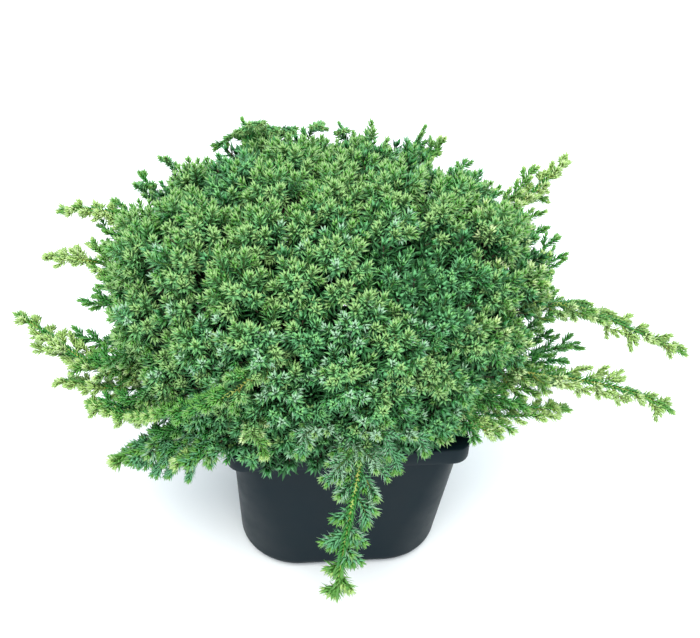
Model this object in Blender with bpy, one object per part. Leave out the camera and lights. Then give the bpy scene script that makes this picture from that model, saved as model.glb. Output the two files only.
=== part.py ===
"""A Japanese garden juniper, Juniperus procumbens, grown on in a square plastic container.

Metres, +Z up. The origin is the middle of the container's footprint, on the surface that it
stands on. +X is the viewer's right and -Y is the side that faces the viewer.
"""
import math
import random

import bpy
import bmesh
from mathutils import Matrix, Vector

# Container
POT_HALF = 0.110            # half the outer width of the lip
POT_TOP = 0.168             # height of the rim
LIP_HEIGHT = 0.017
LIP_EDGE = 0.0015           # rounding along the lip's edges
LIP_CORNER = 0.016          # corner radius of the lip in plan
NECK_HALF = 0.1035          # the body under the lip
NECK_CORNER = 0.020
BASE_HALF = 0.0990          # the body just above the rounded base edge
BASE_CORNER = 0.058
BASE_ROUND = 0.013          # radius of the base edge
WALL = 0.0024
FLOOR_TOP = 0.0085          # inside of the container's floor
FOOT_HEIGHT = 0.0055        # the four corner feet stand this proud
FOOT_CHANNEL = 0.074        # gap between the feet along each side
DRAIN_RADIUS = 0.005
DRAIN_REACH = 0.058         # from the middle to each outer drain hole
CORNER_STEPS = 8            # facets round each corner
GAP = 0.0003                # clearance between solids that touch in life
MERGE = 0.000002            # points nearer than this are one point

# Growing medium
SOIL_TOP = 0.154

# Trunk: a short leaning stem that swells into the fork
FORK = Vector((0.0, 0.0, 0.190))
FORK_RADIUS = 0.0150
TRUNK_FOOT = Vector((0.007, 0.005, SOIL_TOP + GAP))
TRUNK_FOOT_RADIUS = 0.0145
TRUNK_WAIST_RADIUS = 0.0115
TRUNK_WAISTS = (0.35, 0.70) # shares of the way to the fork where the stem is slimmest
TRUNK_SUNK = 0.006          # the stem runs on this far below the medium, where it is cut flat
TRUNK_SUNK_RADIUS = 0.0160
ROOT_FLARES = 5
FLARE_TURN = 0.2            # of a step round the stem, from +X to the first flare
FLARE_REACH = 0.0170
FLARE_RISE = 0.013
FLARE_START = 0.0046        # from the stem's middle to a flare's upper end
FLARE_RADIUS = 0.0062
FLARE_TOP_RADIUS = 0.0050

# Crown: a low mound, higher at the back left. Its reach in plan is given every 45 degrees, from
# +X towards +Y, and so is the share of that reach by which it draws in towards its underside.
CROWN_REACH = (0.216, 0.224, 0.208, 0.244, 0.226, 0.184, 0.166, 0.166)
CROWN_TUCK = (0.32, 0.12, 0.05, 0.06, 0.08, 0.08, 0.16, 0.12)
CROWN_TUCK_FROM = 0.285     # below this height it draws in
CROWN_EDGE = 0.222          # above this height it rounds over towards the top
CROWN_TOP = 0.392
CROWN_LEAN = 0.08           # gain in height at the rim of the high side
CROWN_LEAN_AZIMUTH = 155.0
CROWN_POWER = 2.35          # 2 is an ellipse, more is squarer
CROWN_FLOOR = POT_TOP + 0.006

# Boughs and the masses that they carry: name, azimuth, elevation seen from the fork
LOWER_RISE = 13.0
MIDDLE_RISE = 42.0
TOP_RISE = 71.0
COMPASS = ("right", "back_right", "back", "back_left", "left", "front_left", "front", "front_right")
LIMBS = [("lower_" + word, 45.0 * k, LOWER_RISE) for k, word in enumerate(COMPASS)]
LIMBS += [("middle_" + word, azimuth, MIDDLE_RISE) for word, azimuth in (
    ("right", 0.0), ("back_right", 60.0), ("back_left", 120.0),
    ("left", 180.0), ("front_left", 240.0), ("front_right", 300.0))]
LIMBS += [("top_right", 20.0, TOP_RISE), ("top_left", 200.0, TOP_RISE)]
BOUGH_RADIUS = {LOWER_RISE: 0.0044, MIDDLE_RISE: 0.0040, TOP_RISE: 0.0036}
BOUGH_TIP_RADIUS = 0.0024
BOUGH_SHARE = 0.40          # of the way from the fork to the crown's surface
BOUGH_ARCH = 0.004
BOUGH_POINTS = 7
STEM_SHARE = 0.86           # how far a mass's own stem runs

# Foliage
SEED = 20
CLUMPS = 112                # dealt over the whole crown on one golden spiral
CLUMP_LOWEST = -10.0        # lowest elevation of a clump, seen from the fork
SPRAY_LENGTH = 0.034
SPRAY_RADIUS = 0.0115
SPRAY_TEETH = 4
SPRAY_TRIES = (1.0, 0.82, 0.66)    # a spray that doesn't fit its space is tried smaller
SIDE_SPRAYS = 2
SIDE_LEAN = 52.0
TWIG_RADIUS = 0.0015
CELL_MARGIN = 0.0012        # from a mass's border planes to anything in it
CORE_MARGIN = 0.0040
CORE_DEPTH = 0.024          # the core lies this far under the crown's surface
CORE_CENTRE = 0.70          # of the way from the fork to the surface

# Long leading shoots: name, azimuth and height where they leave the crown, then the azimuth,
# reach and height of the tip, and how far the middle stands above a straight line
SHOOTS = (
    ("shoot_left_long", 185.0, 0.196, 172.2, 0.307, 0.222, 0.002),
    ("shoot_left_middle", 166.0, 0.246, 165.4, 0.288, 0.256, 0.004),
    ("shoot_left_upper", 158.0, 0.284, 161.0, 0.276, 0.300, 0.008),
    ("shoot_left_feather", 188.0, 0.186, 180.5, 0.266, 0.170, 0.004),
    ("shoot_left_low", 197.0, 0.178, 189.6, 0.242, 0.172, 0.003),
    ("shoot_front_left_hanging", 205.0, 0.172, 201.2, 0.232, 0.149, 0.006),
    ("shoot_front_left_short", 221.0, 0.176, 216.6, 0.196, 0.138, 0.006),
    ("shoot_front_hanging", 270.5, 0.204, 264.6, 0.222, 0.112, 0.022),
    ("shoot_front_right_short", 316.0, 0.186, 319.0, 0.184, 0.172, 0.004),
    ("shoot_right_low", 335.0, 0.196, 339.0, 0.224, 0.185, 0.006),
    ("shoot_right_long_front", 343.0, 0.208, 339.0, 0.308, 0.204, 0.014),
    ("shoot_right_long", 357.0, 0.244, 347.2, 0.315, 0.236, 0.004),
    ("shoot_right_upper", 24.0, 0.296, 28.6, 0.262, 0.330, -0.004),
    ("shoot_back_right", 54.0, 0.232, 52.0, 0.264, 0.226, 0.006),
    ("shoot_back", 97.0, 0.248, 99.0, 0.229, 0.258, 0.002),
    ("shoot_back_left", 128.0, 0.232, 126.0, 0.272, 0.218, 0.006),
)
SHOOT_STEPS = 41            # points along a shoot's path
SHOOT_KNOT = 10             # steps from one bend of the stem's solid to the next
SHOOT_RADIUS = 0.0016
SHOOT_TIP_RADIUS = 0.0008
SHOOT_FIRST = 0.003         # this much of a stem runs straight on from the twig inside
SHOOT_SIDE_STEP = 0.0122    # along the stem from one side spray to the next
SHOOT_SIDE_FIRST = 0.8      # of that step, to the first side spray
SHOOT_SIDE_LEAN = 42.0
SHOOT_SIDE_LIFT = (-0.1, 0.45)
SHOOT_SPRAY_LONG = 0.034
SHOOT_SPRAY_SHORT = 0.019
SHOOT_SPRAY_TIP = 0.021
SHOOT_SPRAY_BACK = 0.017    # the tip's spray starts this far before the end of the stem
SHOOT_SPRAY_WIDTH = 0.34    # radius of a spray over its length
SHOOT_CLEAR = 0.004         # between points of neighbouring shoots

COLOURS = {
    "pot": (0.030, 0.034, 0.040, 0.48),
    "soil": (0.045, 0.030, 0.020, 0.95),
    "bark": (0.150, 0.095, 0.055, 0.85),
    "foliage": (0.065, 0.190, 0.070, 0.70),
    "young": (0.200, 0.390, 0.090, 0.65),
}

UP = Vector((0.0, 0.0, 1.0))


def clear_scene():
    for thing in list(bpy.data.objects):
        bpy.data.objects.remove(thing, do_unlink=True)


def make_collection(name):
    collection = bpy.data.collections.new(name)
    bpy.context.scene.collection.children.link(collection)
    return collection


def make_material(name, key):
    red, green, blue, roughness = COLOURS[key]
    material = bpy.data.materials.new(name)
    material.use_nodes = True
    shader = material.node_tree.nodes["Principled BSDF"]
    shader.inputs["Base Color"].default_value = (red, green, blue, 1.0)
    shader.inputs["Roughness"].default_value = roughness
    shader.inputs["Metallic"].default_value = 0.0
    return material


def add_object(name, mesh, collection, key=None):
    thing = bpy.data.objects.new(name, mesh)
    collection.objects.link(thing)
    if key:
        thing.data.materials.clear()
        thing.data.materials.append(make_material(name + "_finish", key))
    return thing


def mesh_from(bm, name):
    bmesh.ops.recalc_face_normals(bm, faces=bm.faces)
    mesh = bpy.data.meshes.new(name)
    bm.to_mesh(mesh)
    bm.free()
    return mesh


def evaluated_mesh(thing):
    bpy.context.view_layer.update()
    depsgraph = bpy.context.evaluated_depsgraph_get()
    return bpy.data.meshes.new_from_object(thing.evaluated_get(depsgraph))


def keep_largest_body(mesh):
    """Drop loose scraps and the walls of sealed hollows, so that one closed body is left."""
    bm = bmesh.new()
    bm.from_mesh(mesh)
    bmesh.ops.remove_doubles(bm, verts=bm.verts, dist=MERGE)
    bmesh.ops.dissolve_degenerate(bm, dist=MERGE, edges=bm.edges)
    bmesh.ops.triangulate(bm, faces=bm.faces)
    unseen = set(bm.faces)
    bodies = []
    while unseen:
        front = [unseen.pop()]
        body = list(front)
        while front:
            for edge in front.pop().edges:
                for face in edge.link_faces:
                    if face in unseen:
                        unseen.discard(face)
                        body.append(face)
                        front.append(face)
        bodies.append(body)
    largest = set(max(bodies, key=len))
    bmesh.ops.delete(bm, geom=[face for face in bm.faces if face not in largest], context="FACES")
    bm.to_mesh(mesh)
    bm.free()
    return mesh


def fuse(name, pieces, key):
    """Join the meshes of one node with a single Boolean union on a collection.

    The exact solver leaves walls of no thickness where the needle sprays of a mass cross.
    """
    first = bpy.data.objects.new(name, pieces[0])
    plant.objects.link(first)
    loose = make_collection(name + "_loose")
    for number, piece in enumerate(pieces[1:]):
        loose.objects.link(bpy.data.objects.new(f"{name}_{number}", piece))
    union = first.modifiers.new("union", "BOOLEAN")
    union.operation = "UNION"
    union.operand_type = "COLLECTION"
    union.collection = loose
    union.solver = "MANIFOLD"
    joined = keep_largest_body(evaluated_mesh(first))
    for thing in list(loose.objects):
        bpy.data.objects.remove(thing, do_unlink=True)
    bpy.data.collections.remove(loose)
    first.modifiers.clear()
    first.data = joined
    first.data.materials.clear()
    first.data.materials.append(make_material(name + "_finish", key))
    return first


def rounded_square(half, corner, height):
    """The corners of one level of the container, counter-clockwise from above."""
    ring = []
    for quarter in range(4):
        for step in range(CORNER_STEPS + 1):
            angle = math.radians(90.0 * (quarter + step / CORNER_STEPS))
            side_x = 1.0 if quarter in (0, 3) else -1.0
            side_y = 1.0 if quarter in (0, 1) else -1.0
            ring.append(Vector((side_x * (half - corner) + corner * math.cos(angle),
                                side_y * (half - corner) + corner * math.sin(angle), height)))
    return ring


def loft(name, rings):
    """Skin a row of levels and close both ends."""
    bm = bmesh.new()
    levels = [[bm.verts.new(point) for point in ring] for ring in rings]
    for low, high in zip(levels, levels[1:]):
        for k in range(len(low)):
            after = (k + 1) % len(low)
            bm.faces.new((low[k], low[after], high[after], high[k]))
    bm.faces.new(list(reversed(levels[0])))
    bm.faces.new(levels[-1])
    return mesh_from(bm, name)


def body_section(height, inset):
    """Half width and corner radius of the container's body at a height, moved in by an inset."""
    low = BASE_ROUND
    high = POT_TOP - LIP_HEIGHT
    share = (height - low) / (high - low)
    half = BASE_HALF + (NECK_HALF - BASE_HALF) * share - inset
    corner = BASE_CORNER + (NECK_CORNER - BASE_CORNER) * share - inset
    if height < low:
        drop = BASE_ROUND - math.sqrt(max(BASE_ROUND ** 2 - (low - height) ** 2, 0.0))
        half = BASE_HALF - drop - inset
        corner = BASE_CORNER - drop - inset
    return half, corner


def body_levels(low, high, count, inset):
    heights = [low + (high - low) * k / (count - 1) for k in range(count)]
    return [rounded_square(*body_section(height, inset), height) for height in heights]


def subtract(thing, cutter_mesh, name):
    cutter = add_object(name, cutter_mesh, cutters)
    cutter.hide_render = True
    cutter.display_type = "WIRE"
    cut = thing.modifiers.new(name, "BOOLEAN")
    cut.operation = "DIFFERENCE"
    cut.object = cutter
    cut.solver = "EXACT"


def box_mesh(name, low, high):
    bm = bmesh.new()
    size = Vector(high) - Vector(low)
    middle = (Vector(high) + Vector(low)) / 2
    bmesh.ops.create_cube(bm, size=1.0, matrix=Matrix.Translation(middle) @ Matrix.Diagonal((*size, 1.0)))
    return mesh_from(bm, name)


def make_pot():
    neck = POT_TOP - LIP_HEIGHT
    rings = body_levels(0.0, BASE_ROUND, 5, 0.0)
    rings += body_levels(BASE_ROUND, neck, 4, 0.0)[1:]
    for half, height in ((POT_HALF - LIP_EDGE, neck), (POT_HALF, neck + LIP_EDGE),
                         (POT_HALF, POT_TOP - LIP_EDGE), (POT_HALF - LIP_EDGE, POT_TOP)):
        rings.append(rounded_square(half, LIP_CORNER - POT_HALF + half, height))
    half, corner = body_section(neck, WALL)
    rings.append(rounded_square(half, corner, POT_TOP))
    rings += reversed(body_levels(FLOOR_TOP, neck, 4, WALL))
    pot = add_object("pot", loft("pot", rings), plant, "pot")

    reach = POT_HALF * 1.2
    wide = FOOT_CHANNEL / 2
    subtract(pot, box_mesh("channel_x", (-reach, -wide, -0.01), (reach, wide, FOOT_HEIGHT)), "channel_x")
    subtract(pot, box_mesh("channel_y", (-wide, -reach, -0.01), (wide, reach, FOOT_HEIGHT)), "channel_y")
    bm = bmesh.new()
    for x, y in ((0, 0), (1, 0), (-1, 0), (0, 1), (0, -1)):
        place = Matrix.Translation((x * DRAIN_REACH, y * DRAIN_REACH, FLOOR_TOP / 2))
        bmesh.ops.create_cone(bm, cap_ends=True, segments=12, radius1=DRAIN_RADIUS,
                              radius2=DRAIN_RADIUS, depth=FLOOR_TOP * 3, matrix=place)
    subtract(pot, mesh_from(bm, "drains"), "drains")


def make_soil():
    inset = WALL + GAP
    rings = body_levels(FLOOR_TOP + GAP, POT_TOP - LIP_HEIGHT, 4, inset)
    half, corner = body_section(POT_TOP - LIP_HEIGHT, inset)
    rings.append(rounded_square(half, corner, SOIL_TOP))
    add_object("soil", loft("soil", rings), plant, "soil")


def tube_mesh(name, points, radii, resolution):
    """A tapered limb through the points, as a bevelled curve made into a closed mesh."""
    curve = bpy.data.curves.new(name, "CURVE")
    curve.dimensions = "3D"
    curve.bevel_depth = 1.0
    curve.bevel_resolution = resolution
    curve.use_fill_caps = True
    spline = curve.splines.new("POLY")
    spline.points.add(len(points) - 1)
    for knot, point, radius in zip(spline.points, points, radii):
        knot.co = (*point, 1.0)
        knot.radius = radius
    holder = bpy.data.objects.new(name, curve)
    bpy.context.scene.collection.objects.link(holder)
    mesh = evaluated_mesh(holder)
    bpy.data.objects.remove(holder, do_unlink=True)
    bpy.data.curves.remove(curve)
    bm = bmesh.new()
    bm.from_mesh(mesh)
    bmesh.ops.remove_doubles(bm, verts=bm.verts, dist=MERGE)
    return mesh_from(bm, name)


def rod_mesh(name, start, end, start_radius, end_radius, sides=3):
    """One straight tapering length of twig."""
    along = end - start
    turn = along.to_track_quat("Z", "Y").to_matrix().to_4x4()
    bm = bmesh.new()
    bmesh.ops.create_cone(bm, cap_ends=True, segments=sides, radius1=start_radius, radius2=end_radius,
                          depth=along.length, matrix=Matrix.Translation((start + end) / 2) @ turn)
    return mesh_from(bm, name)


def make_trunk():
    """Short stem from the medium to the fork, with a root flare cut flat at the medium."""
    below = TRUNK_FOOT - UP * TRUNK_SUNK
    waists = [TRUNK_FOOT.lerp(FORK, share) for share in TRUNK_WAISTS]
    points = [below, TRUNK_FOOT, *waists, FORK]
    radii = [TRUNK_SUNK_RADIUS, TRUNK_FOOT_RADIUS] + [TRUNK_WAIST_RADIUS] * 3
    pieces = [tube_mesh("trunk", points, radii, 3)]
    knob = bmesh.new()
    bmesh.ops.create_icosphere(knob, subdivisions=2, radius=FORK_RADIUS, matrix=Matrix.Translation(FORK))
    pieces.append(mesh_from(knob, "fork"))
    for flare in range(ROOT_FLARES):
        out = direction(360.0 * (flare + FLARE_TURN) / ROOT_FLARES, 0.0)
        high = TRUNK_FOOT + UP * FLARE_RISE + out * FLARE_START
        low = below + out * FLARE_REACH
        pieces.append(rod_mesh("flare", high, low, FLARE_TOP_RADIUS, FLARE_RADIUS, 5))
    trunk = fuse("trunk", pieces, "bark")
    bm = bmesh.new()
    bm.from_mesh(trunk.data)
    whole = list(bm.verts) + list(bm.edges) + list(bm.faces)
    cut = bmesh.ops.bisect_plane(bm, geom=whole, plane_co=TRUNK_FOOT, plane_no=UP, clear_inner=True)
    edges = [part for part in cut["geom_cut"] if isinstance(part, bmesh.types.BMEdge)]
    bmesh.ops.holes_fill(bm, edges=edges)
    bmesh.ops.triangulate(bm, faces=bm.faces)
    bmesh.ops.recalc_face_normals(bm, faces=bm.faces)
    bm.to_mesh(trunk.data)
    bm.free()


def direction(azimuth, rise):
    around = math.radians(azimuth)
    up = math.radians(rise)
    return Vector((math.cos(around) * math.cos(up), math.sin(around) * math.cos(up), math.sin(up)))


def round_the_plan(values, azimuth):
    """A value between those given every 45 degrees, at an azimuth in radians."""
    turn = (azimuth / math.tau) % 1.0 * len(values)
    low = int(turn) % len(values)
    high = (low + 1) % len(values)
    blend = (1.0 - math.cos(math.pi * (turn - int(turn)))) / 2
    return values[low] * (1.0 - blend) + values[high] * blend


def crown_level(point):
    """Below 1 inside the mound, 1 on its surface, above 1 outside."""
    azimuth = math.atan2(point.y, point.x)
    hang = min(max(CROWN_TUCK_FROM - point.z, 0.0) / (CROWN_TUCK_FROM - CROWN_FLOOR), 1.0)
    reach = round_the_plan(CROWN_REACH, azimuth) * (1.0 - round_the_plan(CROWN_TUCK, azimuth) * hang)
    out = math.hypot(point.x, point.y) / reach
    lean = 1.0 + CROWN_LEAN * min(out, 1.0) * math.cos(azimuth - math.radians(CROWN_LEAN_AZIMUTH))
    up = max(point.z - CROWN_EDGE, 0.0) / ((CROWN_TOP - CROWN_EDGE) * lean)
    return out ** CROWN_POWER + up ** CROWN_POWER


def distance_to_crown(start, way):
    low, high = 0.0, 0.6
    for _ in range(30):
        middle = (low + high) / 2
        if crown_level(start + way * middle) < 1.0:
            low = middle
        else:
            high = middle
    return low


def crown_normal(point):
    step = 0.0005
    base = crown_level(point)
    slope = [crown_level(point + Vector(axis) * step) - base for axis in ((1, 0, 0), (0, 1, 0), (0, 0, 1))]
    return Vector(slope).normalized()


WAYS = [direction(azimuth, rise) for _, azimuth, rise in LIMBS]
REACHES = [distance_to_crown(FORK, way) for way in WAYS]


def owner(way):
    """The limb whose cone of space holds a direction seen from the fork."""
    return max(range(len(WAYS)), key=lambda k: WAYS[k].dot(way))


def distance_to_border(limb, start, way, margin):
    """From a start inside a mass's space, along a way, to the first of its border planes."""
    inner = REACHES[limb] * BOUGH_SHARE + 3 * GAP + margin
    planes = [(-WAYS[limb], -inner)]
    for other, axis in enumerate(WAYS):
        if other != limb:
            planes.append(((axis - WAYS[limb]).normalized(), -margin))
    planes.append((-UP, FORK.z - CROWN_FLOOR - margin))
    best = 1.0
    for normal, level in planes:
        speed = normal.dot(way)
        if speed > 1e-6:
            best = min(best, (level - normal.dot(start - FORK)) / speed)
    return best


def fits(limb, points):
    """True where all the points keep to the mass's own space and stay off the container."""
    for point in points:
        seen = point - FORK
        for other, axis in enumerate(WAYS):
            if other != limb and seen.dot((axis - WAYS[limb]).normalized()) > -CELL_MARGIN:
                return False
        if seen.dot(WAYS[limb]) < REACHES[limb] * BOUGH_SHARE + CELL_MARGIN:
            return False
        if crown_level(point + crown_normal(point) * CELL_MARGIN) > 1.0:
            return False
    return clear_of_pot(points)


def clear_of_pot(points):
    wide = POT_HALF + CELL_MARGIN
    return (all(p.z > POT_TOP + CELL_MARGIN for p in points) or all(p.x > wide for p in points)
            or all(p.x < -wide for p in points) or all(p.y > wide for p in points)
            or all(p.y < -wide for p in points))


def spray_mesh(name, base, way, length, radius, turn):
    """A slim core with a ring of teeth that sweep forward: one spray of needles."""
    sides = 2 * SPRAY_TEETH
    valley = radius * 0.36
    back = length * 0.42
    frame = Matrix.Translation(base) @ way.to_track_quat("Z", "Y").to_matrix().to_4x4()
    frame = frame @ Matrix.Rotation(turn, 4, "Z")
    bm = bmesh.new()
    bmesh.ops.create_cone(bm, cap_ends=False, segments=sides, radius1=0.0, radius2=valley, depth=back,
                          matrix=Matrix.Translation((0, 0, back / 2)))
    bmesh.ops.create_cone(bm, cap_ends=False, segments=sides, radius1=valley, radius2=0.0,
                          depth=length - back, matrix=Matrix.Translation((0, 0, (length + back) / 2)))
    bmesh.ops.remove_doubles(bm, verts=bm.verts, dist=MERGE)
    for vertex in bm.verts:
        along = math.hypot(vertex.co.x, vertex.co.y)
        tooth = round(math.atan2(vertex.co.y, vertex.co.x) / (math.pi / SPRAY_TEETH))
        if along > valley * 0.5 and tooth % 2 == 0:
            vertex.co.x *= radius / along
            vertex.co.y *= radius / along
            vertex.co.z += length * 0.24
    bmesh.ops.transform(bm, matrix=frame, verts=bm.verts)
    return mesh_from(bm, name)


def mesh_points(mesh):
    return [vertex.co for vertex in mesh.vertices]


def core_mesh(limb, centre):
    """A lumpy body that fills the middle of a mass's space."""
    bm = bmesh.new()
    bmesh.ops.create_icosphere(bm, subdivisions=2, radius=1.0)
    for vertex in bm.verts:
        way = vertex.co.normalized()
        side = distance_to_border(limb, centre, way, CORE_MARGIN)
        top = distance_to_crown(centre, way) - CORE_DEPTH
        vertex.co = centre + way * max(min(side, top), 0.004)
    return mesh_from(bm, "core")


def clump_places():
    """Ways from the fork to every clump, on one golden spiral over the crown."""
    low = math.sin(math.radians(CLUMP_LOWEST))
    golden = math.pi * (3.0 - math.sqrt(5.0))
    rng = random.Random(SEED)
    ways = []
    for k in range(CLUMPS):
        height = low + (1.0 - low) * (k + 0.5) / CLUMPS
        rise = math.degrees(math.asin(height)) + rng.uniform(-2.0, 2.0)
        azimuth = math.degrees(golden * k) + rng.uniform(-3.0, 3.0)
        ways.append(direction(azimuth, rise))
    return ways


def shoot_start(azimuth, height):
    out = Vector((math.cos(math.radians(azimuth)), math.sin(math.radians(azimuth)), 0.0))
    middle = Vector((0.0, 0.0, height))
    return middle + out * distance_to_crown(middle, out)


def stem_point(limb, target):
    """Where a twig leaves the mass's stem on its way forward to a target."""
    way = WAYS[limb]
    along = way.dot(target - FORK)
    aside = (target - FORK - way * along).length
    low = REACHES[limb] * BOUGH_SHARE + 0.012
    high = REACHES[limb] * STEM_SHARE
    return FORK + way * min(max(along - aside * 1.1, low), high)


def make_mass(limb):
    name = LIMBS[limb][0]
    way, reach = WAYS[limb], REACHES[limb]
    rng = random.Random(SEED * 100 + limb)
    start = FORK + way * (reach * BOUGH_SHARE + GAP)
    pieces = [core_mesh(limb, FORK + way * reach * CORE_CENTRE)]
    pieces.append(rod_mesh("stem", start, FORK + way * reach * STEM_SHARE, BOUGH_TIP_RADIUS, TWIG_RADIUS, 5))
    starts = [s for s in SHOOT_STARTS if owner(s - FORK) == limb]
    for point in starts:
        root = stem_point(limb, point)
        end = point - (point - root).normalized() * GAP / 2
        pieces.append(rod_mesh("leader", root, end, TWIG_RADIUS * 1.2, SHOOT_RADIUS, 4))
    for clump in CLUMP_WAYS:
        if owner(clump) != limb:
            continue
        surface = FORK + clump * distance_to_crown(FORK, clump)
        axis = (clump + crown_normal(surface) * 0.6 + UP * 0.25).normalized()
        base = surface - axis * (SPRAY_LENGTH + rng.uniform(0.001, 0.005))
        root = stem_point(limb, base)
        twig = rod_mesh("twig", root, base + axis * SPRAY_LENGTH * 0.25, TWIG_RADIUS, TWIG_RADIUS * 0.7)
        if not fits(limb, mesh_points(twig)):
            continue
        pieces.append(twig)
        sprays = [(base, axis, 1.0)]
        spin = rng.uniform(0.0, math.tau)
        for k in range(SIDE_SPRAYS):
            lean = Matrix.Rotation(math.radians(SIDE_LEAN), 3, axis.orthogonal())
            side = Matrix.Rotation(spin + math.tau * k / SIDE_SPRAYS, 3, axis) @ (lean @ axis)
            sprays.append((base - axis * 0.002, side, 0.85))
        for foot, aim, size in sprays:
            spin = rng.uniform(0.0, math.tau)
            for shrink in SPRAY_TRIES:
                length = SPRAY_LENGTH * size * shrink
                spray = spray_mesh("spray", foot, aim, length, SPRAY_RADIUS * size * shrink, spin)
                points = mesh_points(spray)
                near = any((p - s).length < SHOOT_RADIUS * 2 for s in starts for p in points)
                if fits(limb, points) and not near:
                    pieces.append(spray)
                    break
    fuse("mass_" + name, pieces, "foliage")


def make_bough(limb):
    name, _, rise = LIMBS[limb]
    way, reach = WAYS[limb], REACHES[limb]
    start = FORK + way * (FORK_RADIUS + GAP)
    end = FORK + way * reach * BOUGH_SHARE
    lift = (UP - way * way.dot(UP)).normalized()
    points, radii = [], []
    for k in range(BOUGH_POINTS):
        share = k / (BOUGH_POINTS - 1)
        points.append(start.lerp(end, share) + lift * BOUGH_ARCH * math.sin(math.pi * share) ** 2)
        radii.append(BOUGH_RADIUS[rise] + (BOUGH_TIP_RADIUS - BOUGH_RADIUS[rise]) * share ** 0.8)
    add_object("bough_" + name, tube_mesh("bough_" + name, points, radii, 1), plant, "bark")


def shoot_path(row, count):
    """Points from the crown's surface to the tip, starting in line with the twig inside."""
    _, azimuth, height, tip_azimuth, tip_reach, tip_height, arch = row
    start = shoot_start(azimuth, height)
    limb = owner(start - FORK)
    first = (start - stem_point(limb, start)).normalized()
    tip = direction(tip_azimuth, 0.0) * tip_reach + UP * tip_height
    length = (tip - start).length
    start = start + first * GAP / 2
    near = start + first * length * 0.15
    far = tip.lerp(start, 0.35) + UP * arch * 1.6
    points = []
    for k in range(count):
        t = k / (count - 1)
        s = 1.0 - t
        points.append(start * s ** 3 + near * 3 * s * s * t + far * 3 * s * t * t + tip * t ** 3)
    return points, first


def make_shoot(row, taken):
    name = row[0]
    rng = random.Random(name)
    fine, first = shoot_path(row, SHOOT_STEPS)
    knots = [fine[0], fine[0] + first * SHOOT_FIRST] + fine[SHOOT_KNOT::SHOOT_KNOT]
    length = sum((b - a).length for a, b in zip(fine, fine[1:]))
    radii = [SHOOT_RADIUS + (SHOOT_TIP_RADIUS - SHOOT_RADIUS) * k / (len(knots) - 1)
             for k in range(len(knots))]
    pieces = [tube_mesh("stem", knots, radii, 0)]
    base, normal = fine[0], crown_normal(fine[0])
    ahead = (fine[-1] - fine[-4]).normalized()
    sprays = [(fine[-1] - ahead * SHOOT_SPRAY_BACK, ahead, SHOOT_SPRAY_TIP)]
    walked, side, due = 0.0, 0, SHOOT_SIDE_STEP * SHOOT_SIDE_FIRST
    for a, b in zip(fine, fine[1:]):
        walked += (b - a).length
        if walked < due or walked > length - SHOOT_SPRAY_SHORT:
            continue
        due += SHOOT_SIDE_STEP
        side += 1
        along = (b - a).normalized()
        flat = along.cross(UP).normalized() * (1 if side % 2 else -1)
        out = (flat + UP * rng.uniform(*SHOOT_SIDE_LIFT)).normalized()
        lean = math.radians(SHOOT_SIDE_LEAN)
        share = walked / length
        size = SHOOT_SPRAY_LONG + (SHOOT_SPRAY_SHORT - SHOOT_SPRAY_LONG) * share
        sprays.append((a, (along * math.cos(lean) + out * math.sin(lean)).normalized(), size))
    mine = []
    for foot, aim, size in sprays:
        spin = rng.uniform(0.0, math.tau)
        for shrink in SPRAY_TRIES:
            spray = spray_mesh("spray", foot, aim, size * shrink, size * shrink * SHOOT_SPRAY_WIDTH, spin)
            points = mesh_points(spray)
            outside = all((p - base).dot(normal) > CELL_MARGIN for p in points)
            crossing = any((p - q).length < SHOOT_CLEAR for p in points for q in taken)
            if outside and not crossing and clear_of_pot(points):
                pieces.append(spray)
                mine += points
                mine.append(foot + aim * size * shrink / 2)
                break
    taken += mine + fine
    fuse(name, pieces, "young")


clear_scene()
plant = make_collection("japanese_garden_juniper")
cutters = make_collection("cutters")
CLUMP_WAYS = clump_places()
SHOOT_STARTS = [shoot_start(row[1], row[2]) for row in SHOOTS]
make_pot()
make_soil()
make_trunk()
for number in range(len(LIMBS)):
    make_bough(number)
    make_mass(number)
occupied = []
for shoot in SHOOTS:
    make_shoot(shoot, occupied)
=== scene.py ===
"""A Japanese garden juniper in a square plastic container, dressed for a studio photograph.

Metres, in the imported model's frame: +Z up, the origin under the middle of the container on the
surface that it stands on, +X the viewer's right, -Y the side that faces the viewer.
"""
import math
import random

import bpy
import numpy as np
from mathutils import Matrix, Vector


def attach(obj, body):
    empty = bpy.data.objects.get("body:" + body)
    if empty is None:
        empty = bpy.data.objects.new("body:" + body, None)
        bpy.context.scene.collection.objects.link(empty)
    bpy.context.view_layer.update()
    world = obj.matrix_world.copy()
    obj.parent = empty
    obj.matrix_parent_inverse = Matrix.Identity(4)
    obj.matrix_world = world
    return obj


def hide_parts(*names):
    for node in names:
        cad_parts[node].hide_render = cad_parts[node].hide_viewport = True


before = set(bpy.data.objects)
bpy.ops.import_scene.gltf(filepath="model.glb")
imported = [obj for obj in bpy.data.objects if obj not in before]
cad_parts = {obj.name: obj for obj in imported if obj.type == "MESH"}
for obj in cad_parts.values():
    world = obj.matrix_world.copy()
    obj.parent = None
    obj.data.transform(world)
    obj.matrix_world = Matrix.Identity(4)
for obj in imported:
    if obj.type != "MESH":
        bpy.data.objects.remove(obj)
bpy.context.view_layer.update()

# Camera and studio.
# A hand-held shot from a little left of the middle and well above the crown, turned slightly
# clockwise. One soft lamp above and in front of the plant, a bright white room and a pale floor.
VIEW_FROM = Vector((-0.0880, -0.7273, 0.7996))
VIEW_AT = Vector((0.0067, 0.0, 0.2345))
VIEW_ROLL = math.radians(3.1)
FOCAL_MM = 51.22
SENSOR_MM = 36.0
VIEW_DEPTH = 50.0
FLOOR_SIDE = 14.0
KEY_FROM = Vector((-0.3, -1.1, 2.6))
KEY_SIDE = 1.5
KEY_POWER = 50.0
ROOM_LIGHT = 1.76


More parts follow.
